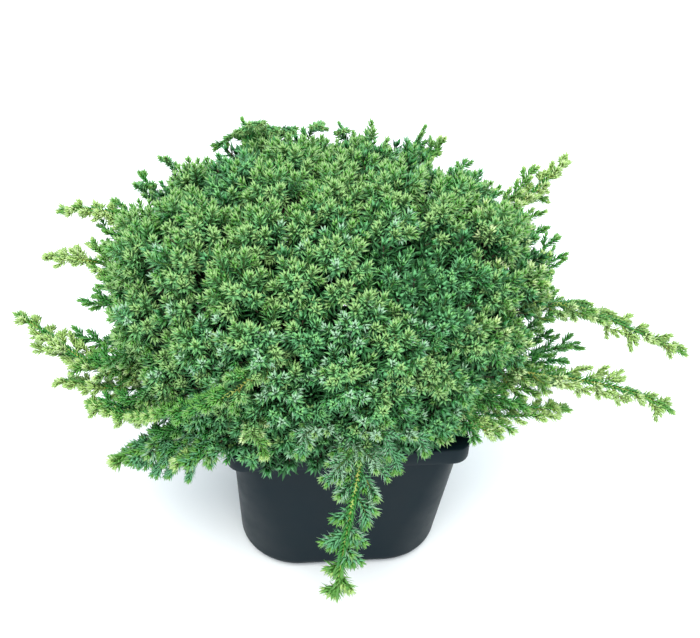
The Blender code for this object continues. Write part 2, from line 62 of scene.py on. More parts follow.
def linear(colour):
    """A linear RGBA colour from an sRGB hex value."""
    channels = [int(colour[k:k + 2], 16) / 255 for k in (1, 3, 5)]
    bent = [c / 12.92 if c <= 0.04045 else ((c + 0.055) / 1.055) ** 2.4 for c in channels]
    return (*bent, 1.0)


def add_node(material, kind, settings, links):
    """Add one node, set its properties, and fill its sockets with values or other outputs."""
    made = material.node_tree.nodes.new(kind)
    for name, value in settings.items():
        setattr(made, name, value)
    for name, value in links.items():
        socket = made.inputs[name]
        if isinstance(value, bpy.types.NodeSocket):
            material.node_tree.links.new(value, socket)
        else:
            socket.default_value = value
    return made


def new_material(name, colour, roughness):
    """A named Principled finish with its plain colour and roughness set on the shader."""
    material = bpy.data.materials.new(name)
    material.use_nodes = True
    shader = material.node_tree.nodes["Principled BSDF"]
    shader.inputs["Base Color"].default_value = linear(colour)
    shader.inputs["Roughness"].default_value = roughness
    return material, shader


def join_sockets(material, output, socket):
    material.node_tree.links.new(output, socket)


def add_bump(material, shader, height, strength, distance):
    bump = add_node(material, "ShaderNodeBump", {}, {
        "Height": height, "Strength": strength, "Distance": distance})
    join_sockets(material, bump.outputs["Normal"], shader.inputs["Normal"])


def deselect():
    for thing in bpy.context.selected_objects:
        thing.select_set(False)


def aimed_from(place):
    """The matrix of a camera or lamp that looks from a place at the middle of the view."""
    turn = (VIEW_AT - place).to_track_quat("-Z", "Y")
    return Matrix.Translation(place) @ turn.to_matrix().to_4x4()


view = bpy.data.cameras.new("camera")
view.lens = FOCAL_MM
view.sensor_width = SENSOR_MM
view.clip_end = VIEW_DEPTH
camera = bpy.data.objects.new("camera", view)
camera.matrix_world = aimed_from(VIEW_FROM) @ Matrix.Rotation(VIEW_ROLL, 4, "Z")
bpy.context.scene.collection.objects.link(camera)
bpy.context.scene.camera = camera
bpy.context.scene.view_settings.view_transform = "Standard"

# Floor: matte white paint with the faint texture of a roller.
deselect()
bpy.ops.mesh.primitive_plane_add(size=FLOOR_SIDE)
floor = bpy.context.object
floor.name = "studio_floor"
floor_finish, floor_shader = new_material("studio_floor_matte_paint", "#f4f7f8", 0.75)
floor_noise = add_node(floor_finish, "ShaderNodeTexNoise", {}, {"Scale": 900.0, "Detail": 3.0})
add_bump(floor_finish, floor_shader, floor_noise.outputs["Fac"], 0.05, 0.0004)
floor.data.materials.append(floor_finish)

lamp = bpy.data.lights.new("soft_key", "AREA")
lamp.shape = "SQUARE"
lamp.size = KEY_SIDE
lamp.energy = KEY_POWER
lamp.color = linear("#fff8ee")[:3]
key = bpy.data.objects.new("soft_key", lamp)
key.matrix_world = aimed_from(KEY_FROM)
bpy.context.scene.collection.objects.link(key)

room = bpy.data.worlds.new("white_room")
room.use_nodes = True
room.node_tree.nodes["Background"].inputs["Color"].default_value = linear("#f3f9ff")
room.node_tree.nodes["Background"].inputs["Strength"].default_value = ROOM_LIGHT
bpy.context.scene.world = room

# Container.
# A square injection-moulded polypropylene growing pot, black with a blue cast that is partly its own
# tint and partly a painted reflection of a bluish surround, with a deep lip, sides that round out
# towards a nearly round base, four corner feet and five drain holes.
POT_HALF = 0.110
POT_TOP = 0.168
LIP_HEIGHT = 0.017
LIP_CORNER = 0.016
NECK = POT_TOP - LIP_HEIGHT
NECK_HALF = 0.1035
NECK_CORNER = 0.020
NECK_FILLET = 0.0009
BASE_HALF = 0.0990
BASE_CORNER = 0.058
BASE_ROUND = 0.013
WALL = 0.0024
FLOOR_TOP = 0.0085
FLOOR_FILLET = 0.004
LIP_PROFILE = (             # how far in from the lip's face, and how high, up its outside
    (0.0011, NECK), (0.0003, NECK + 0.0004), (0.0, NECK + 0.0013), (0.0001, NECK + 0.0060),
    (0.0, POT_TOP - 0.0022), (0.0004, POT_TOP - 0.0008), (0.0014, POT_TOP - 0.0001),
    (0.0024, POT_TOP))
MOUTH_PROFILE = (           # how much wider and rounder than the inner wall, and how high, inside
    (0.0012, 0.0012, POT_TOP), (0.0003, 0.0, POT_TOP - 0.0004), (0.0, 0.0, POT_TOP - 0.0014))
FOOT_HEIGHT = 0.0055
FOOT_CHANNEL = 0.074
FOOT_EASE = 0.0022
CHANNEL_BELOW = 0.004       # the channel's cutter reaches below the floor by half of this
DRAINS = ((0, 0), (1, 0), (-1, 0), (0, 1), (0, -1))
DRAIN_RADIUS = 0.005
DRAIN_REACH = 0.058
EDGE_EASE = 0.0003
POT_RING = 96               # points round the container, a whole number for each corner


def rounded_square(half, corner, height):
    """Points of one level of the container, counter-clockwise from above."""
    steps = POT_RING // 4 - 1
    ring = []
    for quarter in range(4):
        for step in range(steps + 1):
            angle = math.radians(90.0 * (quarter + step / steps))
            side_x = 1.0 if quarter in (0, 3) else -1.0
            side_y = 1.0 if quarter in (0, 1) else -1.0
            ring.append(Vector((side_x * (half - corner) + corner * math.cos(angle),
                                side_y * (half - corner) + corner * math.sin(angle), height)))
    return ring


def body_section(height, inset):
    """Half width and corner radius of the container's body at a height, moved in by an inset."""
    share = (height - BASE_ROUND) / (NECK - BASE_ROUND)
    half = BASE_HALF + (NECK_HALF - BASE_HALF) * share - inset
    corner = BASE_CORNER + (NECK_CORNER - BASE_CORNER) * share - inset
    if height < BASE_ROUND:
        drop = BASE_ROUND - math.sqrt(max(BASE_ROUND ** 2 - (BASE_ROUND - height) ** 2, 0.0))
        half = BASE_HALF - drop - inset
        corner = BASE_CORNER - drop - inset
    return half, corner


def pot_levels():
    """Half width, corner radius and height of every level, up the outside and down the inside."""
    heights = (*np.linspace(0.0, BASE_ROUND, 7), *np.linspace(BASE_ROUND, NECK - 0.0012, 12)[1:])
    levels = [(*body_section(z, 0.0), z) for z in heights]
    half, corner = body_section(NECK, 0.0)
    levels.append((half + NECK_FILLET, corner + NECK_FILLET, NECK - 0.0003))
    out = POT_HALF - LIP_CORNER
    levels += [(POT_HALF - inset, POT_HALF - inset - out, z) for inset, z in LIP_PROFILE]
    half, corner = body_section(NECK, WALL)
    levels += [(half + wider, corner + rounder, z) for wider, rounder, z in MOUTH_PROFILE]
    levels += [(*body_section(z, WALL), z) for z in np.linspace(NECK, FLOOR_TOP + FLOOR_FILLET, 9)]
    half, corner = body_section(FLOOR_TOP + FLOOR_FILLET, WALL)
    levels += [(half - 0.0012, corner - 0.0012, FLOOR_TOP + 0.0012),
               (half - FLOOR_FILLET, corner - FLOOR_FILLET, FLOOR_TOP)]
    return levels


def grow_rings(levels):
    """Extrude the selected ring of the mesh in edit mode level by level."""
    for number, (half, corner, height) in enumerate(levels):
        if number:
            bpy.ops.mesh.extrude_region_move(TRANSFORM_OT_translate={"value": (0.0, 0.0, 0.001)})
        bpy.ops.object.mode_set(mode="OBJECT")
        mesh = bpy.context.object.data
        ring = [v for v in mesh.vertices if v.select]
        for vertex, place in zip(ring, rounded_square(half, corner, height)):
            vertex.co = place
        bpy.ops.object.mode_set(mode="EDIT")


def face_outwards():
    """Turn all faces of the mesh in edit mode outwards, and leave edit mode."""
    bpy.ops.mesh.select_all(action="SELECT")
    bpy.ops.mesh.normals_make_consistent(inside=False)
    bpy.ops.object.mode_set(mode="OBJECT")


def apply_modifier(thing, kind, **settings):
    """Give the active object a modifier with these settings, and apply it."""
    modifier = thing.modifiers.new(kind, kind)
    for name, value in settings.items():
        setattr(modifier, name, value)
    bpy.ops.object.modifier_apply(modifier=kind)


def cut_away(thing, cutter):
    deselect()
    bpy.context.view_layer.objects.active = thing
    apply_modifier(thing, "BOOLEAN", operation="DIFFERENCE", object=cutter, solver="EXACT")
    bpy.data.objects.remove(cutter, do_unlink=True)


deselect()
bpy.ops.mesh.primitive_circle_add(vertices=POT_RING, radius=BASE_HALF, fill_type="NGON")
container = bpy.context.object
container.name = "container"
bpy.ops.object.mode_set(mode="EDIT")
grow_rings(pot_levels())
face_outwards()
for turn in (0.0, 90.0):
    deselect()
    bpy.ops.mesh.primitive_cube_add(size=1.0, rotation=(0.0, 0.0, math.radians(turn)),
                                    location=(0.0, 0.0, (FOOT_HEIGHT - CHANNEL_BELOW) / 2))
    channel = bpy.context.object
    channel.scale = (POT_HALF * 2.4, FOOT_CHANNEL, FOOT_HEIGHT + CHANNEL_BELOW)
    bpy.ops.object.transform_apply(location=True, rotation=True, scale=True)
    apply_modifier(channel, "BEVEL", width=FOOT_EASE, segments=3)
    cut_away(container, channel)
for x, y in DRAINS:
    deselect()
    bpy.ops.mesh.primitive_cylinder_add(vertices=24, radius=DRAIN_RADIUS, depth=FLOOR_TOP * 3,
                                        location=(x * DRAIN_REACH, y * DRAIN_REACH, FLOOR_TOP / 2))
    cut_away(container, bpy.context.object)
container.select_set(True)
apply_modifier(container, "BEVEL", width=EDGE_EASE, segments=2, limit_method="ANGLE",
               angle_limit=math.radians(50.0))
bpy.ops.object.shade_smooth_by_angle(angle=math.radians(35.0))


def noise_on(material, grain_mm, **more):
    """Noise with a grain of a real size, on a finish's object coordinates."""
    place = add_node(material, "ShaderNodeTexCoord", {}, {})
    return add_node(material, "ShaderNodeTexNoise", {}, {
        "Vector": place.outputs["Object"], "Scale": 1000.0 / grain_mm, **more})


# Injection-moulded polypropylene, black with carbon and a blue cast, the blue partly its own tint
# and partly a painted reflection of a bluish surround. The mould's spark-eroded grain of about
# 0.5 mm keeps its shine broad and dull; slight marks from handling vary it.
POT_GRAIN_MM = 0.5
POT_SCUFF_MM = 1000.0 / 28.0
MIX_SHARE, MIX_FIRST, MIX_SECOND, MIX_RESULT = 0, 6, 7, 2       # a Mix node's colour sockets
# The base colours here and in the mix below carry the blue cast, partly a painted reflection.
pot_finish, pot_shader = new_material("moulded_black_polypropylene", "#07171f", 0.50)
grain = noise_on(pot_finish, POT_GRAIN_MM, Detail=2.0)
scuffs = noise_on(pot_finish, POT_SCUFF_MM, Detail=6.0, Roughness=0.65)
dull = add_node(pot_finish, "ShaderNodeMapRange", {}, {
    "Value": scuffs.outputs["Fac"], "From Min": 0.3, "From Max": 0.7, "To Min": 0.40, "To Max": 0.56})
dusted = add_node(pot_finish, "ShaderNodeMix", {"data_type": "RGBA"}, {
    MIX_SHARE: scuffs.outputs["Fac"], MIX_FIRST: linear("#06141a"), MIX_SECOND: linear("#0a1b22")})
join_sockets(pot_finish, dull.outputs["Result"], pot_shader.inputs["Roughness"])
join_sockets(pot_finish, dusted.outputs[MIX_RESULT], pot_shader.inputs["Base Color"])
add_bump(pot_finish, pot_shader, grain.outputs["Fac"], 0.22, 0.00012)
pot_shader.inputs["IOR"].default_value = 1.49
pot_shader.inputs["Specular IOR Level"].default_value = 0.12
container.data.materials.append(pot_finish)
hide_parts("pot")
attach(container, "root")

# Potting mix.
# Peat and composted bark, filled to 14 mm below the rim and sunk a little at the edges, with
# loose bark chips on top. It is damp, so it is dark and dull.
SOIL_TOP = 0.154
SOIL_SETTLED = 0.0010       # the even surface lies this far under the top of its crumbs
SOIL_SINK = 0.004           # the surface sinks this far at the wall
SOIL_LEVELS = (0.110, 0.060, 0.020)
SOIL_TAPER = 0.0012
GAP = 0.0003
SOIL_CELLS = 72
SOIL_ROUGH = 0.0016         # how far crumbs stand up or down
CRUMB_SIZE = 0.006
CRUMB_DEPTH = 0.006         # crumbs roughen what lies within this of the top
CHIPS = 420
CHIP_MM = (3.0, 9.0)
CHIP_BREADTH = (0.35, 0.8)  # of its length
CHIP_THICK = (0.0008, 0.0018)
CHIP_LIE = (-0.0010, 0.0004)
CHIP_OUTLINE = ((-1, -0.8), (0.1, -1), (1, -0.5), (0.85, 0.7), (-0.2, 1), (-1, 0.55))
CHIP_SEED = 11


def square_to_rounded(x, y, half, corner):
    """Move a point of a square of half width 1 into a rounded square, keeping its direction."""
    reach = max(abs(x), abs(y))
    if reach < 1e-9:
        return 0.0, 0.0
    u, v = x / reach, y / reach
    edge = half
    if min(abs(u), abs(v)) > (half - corner) / half:
        # the ray meets the corner's arc
        length = math.hypot(u, v)
        middle = half - corner
        along = middle * (abs(u) / length + abs(v) / length)
        edge = (along + math.sqrt(max(along ** 2 - 2 * middle ** 2 + corner ** 2, 0.0))) / length
    return u * edge * reach, v * edge * reach


deselect()
bpy.ops.mesh.primitive_grid_add(x_subdivisions=SOIL_CELLS, y_subdivisions=SOIL_CELLS, size=2.0)
soil = bpy.context.object
soil.name = "potting_mix"
top_half, top_corner = body_section(NECK, WALL + GAP)
for vertex in soil.data.vertices:
    edge = max(abs(vertex.co.x), abs(vertex.co.y))
    x, y = square_to_rounded(vertex.co.x, vertex.co.y, top_half, top_corner)
    vertex.co = (x, y, SOIL_TOP - SOIL_SETTLED - SOIL_SINK * edge ** 6)
bpy.ops.object.mode_set(mode="EDIT")
bpy.ops.mesh.select_all(action="DESELECT")
bpy.ops.mesh.select_mode(type="EDGE")
bpy.ops.mesh.select_non_manifold()
for z in (*SOIL_LEVELS, FLOOR_TOP + GAP):
    bpy.ops.mesh.extrude_region_move(TRANSFORM_OT_translate={"value": (0.0, 0.0, -0.001)})
    bpy.ops.object.mode_set(mode="OBJECT")
    half, corner = body_section(z, WALL + GAP + SOIL_TAPER)
    for vertex in soil.data.vertices:
        if vertex.select:
            angle = math.atan2(vertex.co.y, vertex.co.x)
            u, v = math.cos(angle), math.sin(angle)
            reach = max(abs(u), abs(v))
            vertex.co = (*square_to_rounded(u / reach, v / reach, half, corner), z)
    bpy.ops.object.mode_set(mode="EDIT")
bpy.ops.mesh.edge_face_add()
face_outwards()
crumbs = bpy.data.textures.new("crumbs", "CLOUDS")
crumbs.noise_scale = CRUMB_SIZE
crumbs.noise_depth = 3
surface = soil.vertex_groups.new(name="surface")
surface.add([v.index for v in soil.data.vertices if v.co.z > SOIL_TOP - CRUMB_DEPTH], 1.0, "REPLACE")
apply_modifier(soil, "DISPLACE", texture=crumbs, texture_coords="LOCAL", direction="Z",
               vertex_group="surface", strength=SOIL_ROUGH * 2, mid_level=0.62)


def mottled_material(name, colour, roughness, grain_mm, stops, **noise):
    """A finish whose colour runs through stops (position, sRGB colour) with a noise of a real size."""
    material, shader = new_material(name, colour, roughness)
    mottle = noise_on(material, grain_mm, **noise)
    tint = add_node(material, "ShaderNodeValToRGB", {}, {"Fac": mottle.outputs["Fac"]})
    ends = tint.color_ramp.elements
    for end, (position, shade) in zip((ends[0], ends[1]), (stops[0], stops[-1])):
        end.position = position
        end.color = linear(shade)
    for position, shade in stops[1:-1]:
        ends.new(position).color = linear(shade)
    join_sockets(material, tint.outputs["Color"], shader.inputs["Base Color"])
    return material, shader


def cells_on(material, cell_mm, **settings):
    """Voronoi cells of a real size, on a finish's object coordinates."""
    place = add_node(material, "ShaderNodeTexCoord", {}, {})
    return add_node(material, "ShaderNodeTexVoronoi", settings, {
        "Vector": place.outputs["Object"], "Scale": 1000.0 / cell_mm})


# Peat with composted bark: fibrous brown-black crumbs of 1 to 3 mm, damp and without shine.
mix_finish, mix_shader = mottled_material("damp_peat_and_bark", "#2a1d14", 0.93, 4.0, (
    (0.32, "#150e0a"), (0.72, "#4b3523")), Detail=5.0, Roughness=0.7)
add_bump(mix_finish, mix_shader, cells_on(mix_finish, 2.2).outputs["Distance"], 0.6, 0.0006)
soil.data.materials.append(mix_finish)
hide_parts("soil")
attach(soil, "root")


def joined_mesh(name, points, corners, finishes, shades=None):
    """One mesh piece from arrays of points and triangles, each triangle in one of the finishes."""
    mesh = bpy.data.meshes.new(name)
    mesh.vertices.add(len(points))
    mesh.vertices.foreach_set("co", np.ascontiguousarray(points, dtype=np.float32).ravel())
    mesh.loops.add(corners.size)
    mesh.loops.foreach_set("vertex_index", np.ascontiguousarray(corners, dtype=np.int32).ravel())
    mesh.polygons.add(len(corners))
    mesh.polygons.foreach_set("loop_start", np.arange(0, corners.size, 3, dtype=np.int32))
    if shades is not None:
        mesh.polygons.foreach_set("material_index", np.ascontiguousarray(shades, dtype=np.int32))
    for finish in finishes:
        mesh.materials.append(finish)
    mesh.update(calc_edges=True)
    piece = bpy.data.objects.new(name, mesh)
    bpy.context.scene.collection.objects.link(piece)
    return piece


def repeated(faces, count, step):
    """Triangles of count like shapes, each with its points one step further on."""
    corners = np.array(faces)[None] + (np.arange(count) * step)[:, None, None]
    return corners.reshape(-1, 3)


def unit(vectors):
    return vectors / np.maximum(np.linalg.norm(vectors, axis=-1, keepdims=True), 1e-12)


def side_frame(ways):
    """Two unit vectors square to each way."""
    helper = np.where(np.abs(ways[..., 2:3]) < 0.9, (0.0, 0.0, 1.0), (1.0, 0.0, 0.0))
    across = unit(np.cross(helper, ways))
    return across, np.cross(ways, across)


def rotated(ways, sides, angles):
    """Ways turned by angles towards others that are square to them."""
    return ways * np.cos(angles) + sides * np.sin(angles)


def make_chips():
    """Flat, broken-ended bark chips that lie about on the mix."""
    low = np.array([(x, y, -1.0) for x, y in CHIP_OUTLINE]) * 0.5
    chip = np.concatenate([low, low * (0.93, 0.9, -1.0)])
    faces = [(0, k + 1, k) for k in range(1, 5)] + [(6, 6 + k, 7 + k) for k in range(1, 5)]
    for k in range(6):
        after = (k + 1) % 6
        faces += [(k, after, 6 + after), (k, 6 + after, 6 + k)]
    rng = np.random.default_rng(CHIP_SEED)
    spread = top_half - 0.007
    places = np.column_stack([rng.uniform(-spread, spread, (CHIPS, 2)), np.full(CHIPS, SOIL_TOP)])
    places[:, 2] += rng.uniform(*CHIP_LIE, CHIPS)
    lengths = rng.uniform(*CHIP_MM, CHIPS) / 1000
    sizes = np.column_stack([lengths, lengths * rng.uniform(*CHIP_BREADTH, CHIPS),
                             rng.uniform(*CHIP_THICK, CHIPS)])
    ups = unit(np.column_stack([rng.normal(0, 0.22, (CHIPS, 2)), np.ones(CHIPS)]))
    first, second = side_frame(ups)
    across = rotated(first, second, rng.uniform(0, math.tau, (CHIPS, 1)))
    along = np.cross(ups, across)
    local = chip[None] * (1 + rng.normal(0, 0.10, (CHIPS, len(chip), 3))) * sizes[:, None]
    points = (places[:, None] + local[..., :1] * across[:, None] + local[..., 1:2] * along[:, None]
              + local[..., 2:] * ups[:, None])
    return points.reshape(-1, 3), repeated(faces, CHIPS, len(chip))


# Composted pine bark: torn, flat chips, red-brown where fresh and grey-brown where weathered.
chip_finish, _ = mottled_material("composted_bark_chip", "#54392a", 0.86, 7.0, (
    (0.35, "#2c1c13"), (0.68, "#7a5a41")), Detail=4.0)
chips = joined_mesh("bark_chips", *make_chips(), [chip_finish])
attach(chips, "root")

# Trunk and boughs.
# A short leaning stem, flared at the foot, swells into a fork from which sixteen boughs rise in
# three rings. The bark is thin, red-brown and scaly, and comes away in small curled plates.
FORK = Vector((0.0, 0.0, 0.190))
FORK_RADIUS = 0.0150
TRUNK_FOOT = Vector((0.007, 0.005, SOIL_TOP + GAP))
TRUNK_BURIED = 0.008
TRUNK_CUT = 0.0015          # what is left of the trunk below the mix's top
TRUNK_FOOT_RADIUS = 0.0145
TRUNK_WAIST_RADIUS = 0.0115
TRUNK_SWAY = 0.0011
TRUNK_POINTS = 14
UNDER_BARK = 0.96           # trunk and fork without the bark's relief, as a share of their radius
ROOT_FLARES = 5
FLARE_REACH = 0.0170
FLARE_RISE = 0.013
FLARE_DROP = 0.006
FLARE_SAG = 0.002
FLARE_RADIUS = 0.0062
CROWN_REACH = (0.216, 0.224, 0.208, 0.244, 0.226, 0.184, 0.166, 0.166)
CROWN_TUCK = (0.32, 0.12, 0.05, 0.06, 0.08, 0.08, 0.16, 0.12)
CROWN_TUCK_FROM = 0.285
CROWN_EDGE = 0.222
CROWN_TOP = 0.392
CROWN_LEAN = 0.08
CROWN_LEAN_AZIMUTH = 155.0
CROWN_POWER = 2.35
CROWN_FLOOR = POT_TOP + 0.006
LOWER_RISE, MIDDLE_RISE, TOP_RISE = 13.0, 42.0, 71.0
COMPASS = ("right", "back_right", "back", "back_left", "left", "front_left", "front", "front_right")
LIMBS = [("lower_" + word, 45.0 * k, LOWER_RISE) for k, word in enumerate(COMPASS)]
LIMBS += [("middle_" + word, azimuth, MIDDLE_RISE) for word, azimuth in (
    ("right", 0.0), ("back_right", 60.0), ("back_left", 120.0),
    ("left", 180.0), ("front_left", 240.0), ("front_right", 300.0))]
LIMBS += [("top_right", 20.0, TOP_RISE), ("top_left", 200.0, TOP_RISE)]
BOUGH_RADIUS = {LOWER_RISE: 0.0044, MIDDLE_RISE: 0.0040, TOP_RISE: 0.0036}
BOUGH_TIP_RADIUS = 0.0024
BOUGH_SHARE = 0.40          # a bough ends, and its mass begins, at this share of the way out
BOUGH_ARCH = 0.004
BOUGH_WANDER = 0.0010
BOUGH_KNOTS = 0.06
BOUGH_POINTS = 14
STEM_SHARE = 0.86
BARK_VOXEL = 0.0013
BARK_RELIEF = 0.0011
PLATE_SIZE = 0.0042
UP = Vector((0.0, 0.0, 1.0))


def direction(azimuth, rise):
    around = math.radians(azimuth)
    up = math.radians(rise)
    return Vector((math.cos(around) * math.cos(up), math.sin(around) * math.cos(up), math.sin(up)))


def round_the_plan(values, azimuth):
    """A value between those given every 45 degrees, at an azimuth in radians."""
    turn = (azimuth / math.tau) % 1.0 * len(values)
    first = int(turn) % len(values)
    after = (first + 1) % len(values)
    blend = (1.0 - math.cos(math.pi * (turn - int(turn)))) / 2
    return values[first] * (1.0 - blend) + values[after] * blend


def crown_level(point):
    """Below 1 inside the mound, 1 on its surface, above 1 outside."""
    azimuth = math.atan2(point.y, point.x)
    hang = min(max(CROWN_TUCK_FROM - point.z, 0.0) / (CROWN_TUCK_FROM - CROWN_FLOOR), 1.0)
    reach = round_the_plan(CROWN_REACH, azimuth) * (1.0 - round_the_plan(CROWN_TUCK, azimuth) * hang)
    out = math.hypot(point.x, point.y) / reach
    lean = 1.0 + CROWN_LEAN * min(out, 1.0) * math.cos(azimuth - math.radians(CROWN_LEAN_AZIMUTH))
    up = max(point.z - CROWN_EDGE, 0.0) / ((CROWN_TOP - CROWN_EDGE) * lean)
    return out ** CROWN_POWER + up ** CROWN_POWER


def distance_to_crown(start, way):
    """How far the crown's surface is from a point inside it, by halving."""
    near, far = 0.0, 0.6
    for _ in range(24):
        middle = (near + far) / 2
        if crown_level(start + way * middle) < 1.0:
            near = middle
        else:
            far = middle
    return near


def crown_normal(point):
    step = 0.0005
    base = crown_level(point)
    slope = [crown_level(point + Vector(axis) * step) - base for axis in ((1, 0, 0), (0, 1, 0), (0, 0, 1))]
    return Vector(slope).normalized()


WAYS = [direction(azimuth, rise) for _, azimuth, rise in LIMBS]
REACHES = [distance_to_crown(FORK, way) for way in WAYS]


def owner(way):
    """The limb whose cone of space holds a direction seen from the fork."""
    return max(range(len(WAYS)), key=lambda k: WAYS[k].dot(way))


def add_limb(name, points, radii):
    """One tapering limb as a round curve through its points, turned into a mesh."""
    deselect()
    bpy.ops.curve.primitive_bezier_curve_add()
    limb = bpy.context.object
    limb.name = name
    limb.data.splines.clear()
    spline = limb.data.splines.new("POLY")
    spline.points.add(len(points) - 1)
    for knot, point, radius in zip(spline.points, points, radii):
        knot.co = (*point, 1.0)
        knot.radius = radius
    limb.data.bevel_depth = 1.0
    limb.data.bevel_resolution = 4
    limb.data.use_fill_caps = True
    bpy.ops.object.convert(target="MESH")
    return bpy.context.object


def add_trunk():
    """The trunk's stem, from under the mix to the fork."""
    foot = TRUNK_FOOT - UP * TRUNK_BURIED
    points, radii = [], []
    for k in range(TRUNK_POINTS):
        share = k / (TRUNK_POINTS - 1)
        sway = Vector((math.sin(share * 5.0), math.cos(share * 4.0) - 1.0, 0.0)) * TRUNK_SWAY
        points.append(foot.lerp(FORK, share) + sway)
        swell = (TRUNK_FOOT_RADIUS - TRUNK_WAIST_RADIUS) * max(1.0 - share * 2.2, 0.0)
        radii.append((TRUNK_WAIST_RADIUS + swell) * UNDER_BARK)
    return add_limb("trunk_stem", points, radii)


def add_flare(number):
    """One root flare, from the trunk's waist down into the mix."""
    angle = math.tau * (number + 0.2) / ROOT_FLARES
    out = Vector((math.cos(angle), math.sin(angle), 0.0))
    start = TRUNK_FOOT + UP * FLARE_RISE + out * TRUNK_WAIST_RADIUS * 0.4
    end = TRUNK_FOOT - UP * FLARE_DROP + out * FLARE_REACH
    bend = start.lerp(end, 0.5) - out * FLARE_SAG
    return add_limb("flare", [start, bend, end], [FLARE_RADIUS * share for share in (0.7, 0.9, 1.0)])


def add_bough(rise, way, reach, phase):
    """One bough, arched and a little wavy, from inside the fork to where its mass begins."""
    start = FORK + way * FORK_RADIUS * 0.5
    end = FORK + way * (reach * BOUGH_SHARE + GAP + 0.002)
    lift = (UP - way * way.dot(UP)).normalized()
    across = way.cross(UP).normalized()
    points, radii = [], []
    for k in range(BOUGH_POINTS):
        share = k / (BOUGH_POINTS - 1)
        wander = across * math.sin(phase + share * 7.0) * BOUGH_WANDER * math.sin(math.pi * share)
        points.append(start.lerp(end, share) + lift * BOUGH_ARCH * math.sin(math.pi * share) ** 2 + wander)
        knot = 1.0 + BOUGH_KNOTS * math.sin(phase * 2.0 + share * 17.0)
        radii.append((BOUGH_RADIUS[rise] + (BOUGH_TIP_RADIUS - BOUGH_RADIUS[rise]) * share ** 0.8) * knot)
    return add_limb("bough", points, radii)


bark_rng = random.Random(3)
limbs = [add_trunk()]
deselect()
bpy.ops.mesh.primitive_ico_sphere_add(subdivisions=4, radius=FORK_RADIUS * UNDER_BARK, location=FORK)
limbs.append(bpy.context.object)
limbs += [add_flare(number) for number in range(ROOT_FLARES)]
limbs += [add_bough(rise, way, reach, bark_rng.uniform(0.0, math.tau))
          for (_, _, rise), way, reach in zip(LIMBS, WAYS, REACHES)]
deselect()
for limb in limbs:
    limb.select_set(True)
bpy.context.view_layer.objects.active = limbs[0]
bpy.ops.object.join()
bark = bpy.context.object
bark.name = "trunk_and_boughs"
bpy.ops.object.transform_apply(location=True, rotation=True, scale=True)
plates = bpy.data.textures.new("plates", "STUCCI")
plates.noise_scale = PLATE_SIZE
plates.turbulence = 4.0
apply_modifier(bark, "REMESH", mode="VOXEL", voxel_size=BARK_VOXEL)
apply_modifier(bark, "SMOOTH", iterations=3)
apply_modifier(bark, "DISPLACE", texture=plates, texture_coords="LOCAL", strength=BARK_RELIEF, mid_level=0.5)
bpy.ops.object.mode_set(mode="EDIT")
bpy.ops.mesh.select_all(action="SELECT")
bpy.ops.mesh.bisect(plane_co=(0.0, 0.0, SOIL_TOP - TRUNK_CUT), plane_no=(0.0, 0.0, 1.0),
                    clear_inner=True, use_fill=True)
bpy.ops.object.mode_set(mode="OBJECT")
bpy.ops.object.shade_smooth_by_angle(angle=math.radians(60.0))

# Juniper bark: thin and fibrous, red-brown where a plate has just come off and grey-brown where
# it has weathered. Rough and quite without shine.
bark_finish, bark_shader = mottled_material("scaly_juniper_bark", "#5c4030", 0.86, 5.0, (
    (0.34, "#33211a"), (0.50, "#67432f"), (0.66, "#8a6f58")), Detail=8.0, Roughness=0.7)
split = cells_on(bark_finish, 3.0, feature="DISTANCE_TO_EDGE")
add_bump(bark_finish, bark_shader, split.outputs["Distance"], 0.5, 0.0005)
bark.data.materials.clear()
bark.data.materials.append(bark_finish)
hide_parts("trunk", *("bough_" + name for name, _, _ in LIMBS))
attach(bark, "root")

# Wood inside the crown.
# Each bough runs on as the stem of its mass, side stems leave it on their way forward to the
# clumps, and each clump's stem bears a dome of short branchlets. This follows the rule and seed
# of the imported model's masses, carried on to finer twigs. The wood is orange-tan when young, then brown.
SEED = 20
CLUMPS = 112
CLUMP_LOWEST = -10.0
CLUMP_STRAY = (2.0, 3.0)    # degrees in rise and azimuth, either way
DOME_RADIUS = (0.026, 0.035)
DOME_RISE = (-0.013, 0.002) # how far a dome's peak stands over the crown's even surface
DOME_WIDEST = math.radians(74.0)
DOME_STRAY = 0.085
BRANCHLET_SPACING = 0.0178
BRANCHLET_REACH = (0.90, 1.05)
LEADER_SHARE = 0.07         # of the branchlets, a few longer ones that break the surface
LEADER_REACH = (0.006, 0.012)
COVERED = 0.93              # a branchlet this deep in a neighbouring dome is left out
FRONT_SKIRT = 0.028         # the crown's skirt hangs this much less over the rim at the front
# Clumps that stand back also get darker needles as painted shade, and raised ones lighter needles as painted
# light, in crown_tones.
DIPS = (                    # azimuth, rise and width in degrees, and mm that clumps there stand back
    (72, 48, 20, 7), (35, 44, 18, 8), (138, 36, 18, 7), (152, 28, 9, -4), (1, 26, 13, 10),
    (354, 13, 14, 12), (212, -6, 14, 10), (178, 20, 10, 4), (303, 55, 10, 17), (323, 53, 9, 10),
    (288, 66, 7, 9), (250, 44, 8, 13), (308, 39, 7, 12), (252, 24, 8, 10), (286, 31, 7, -5),
    (232, 50, 9, -4), (289, 49, 6, -4), (318, 30, 9, -5), (157, 60, 7, 10), (136, 50, 7, 14),
    (46, 50, 8, -6))
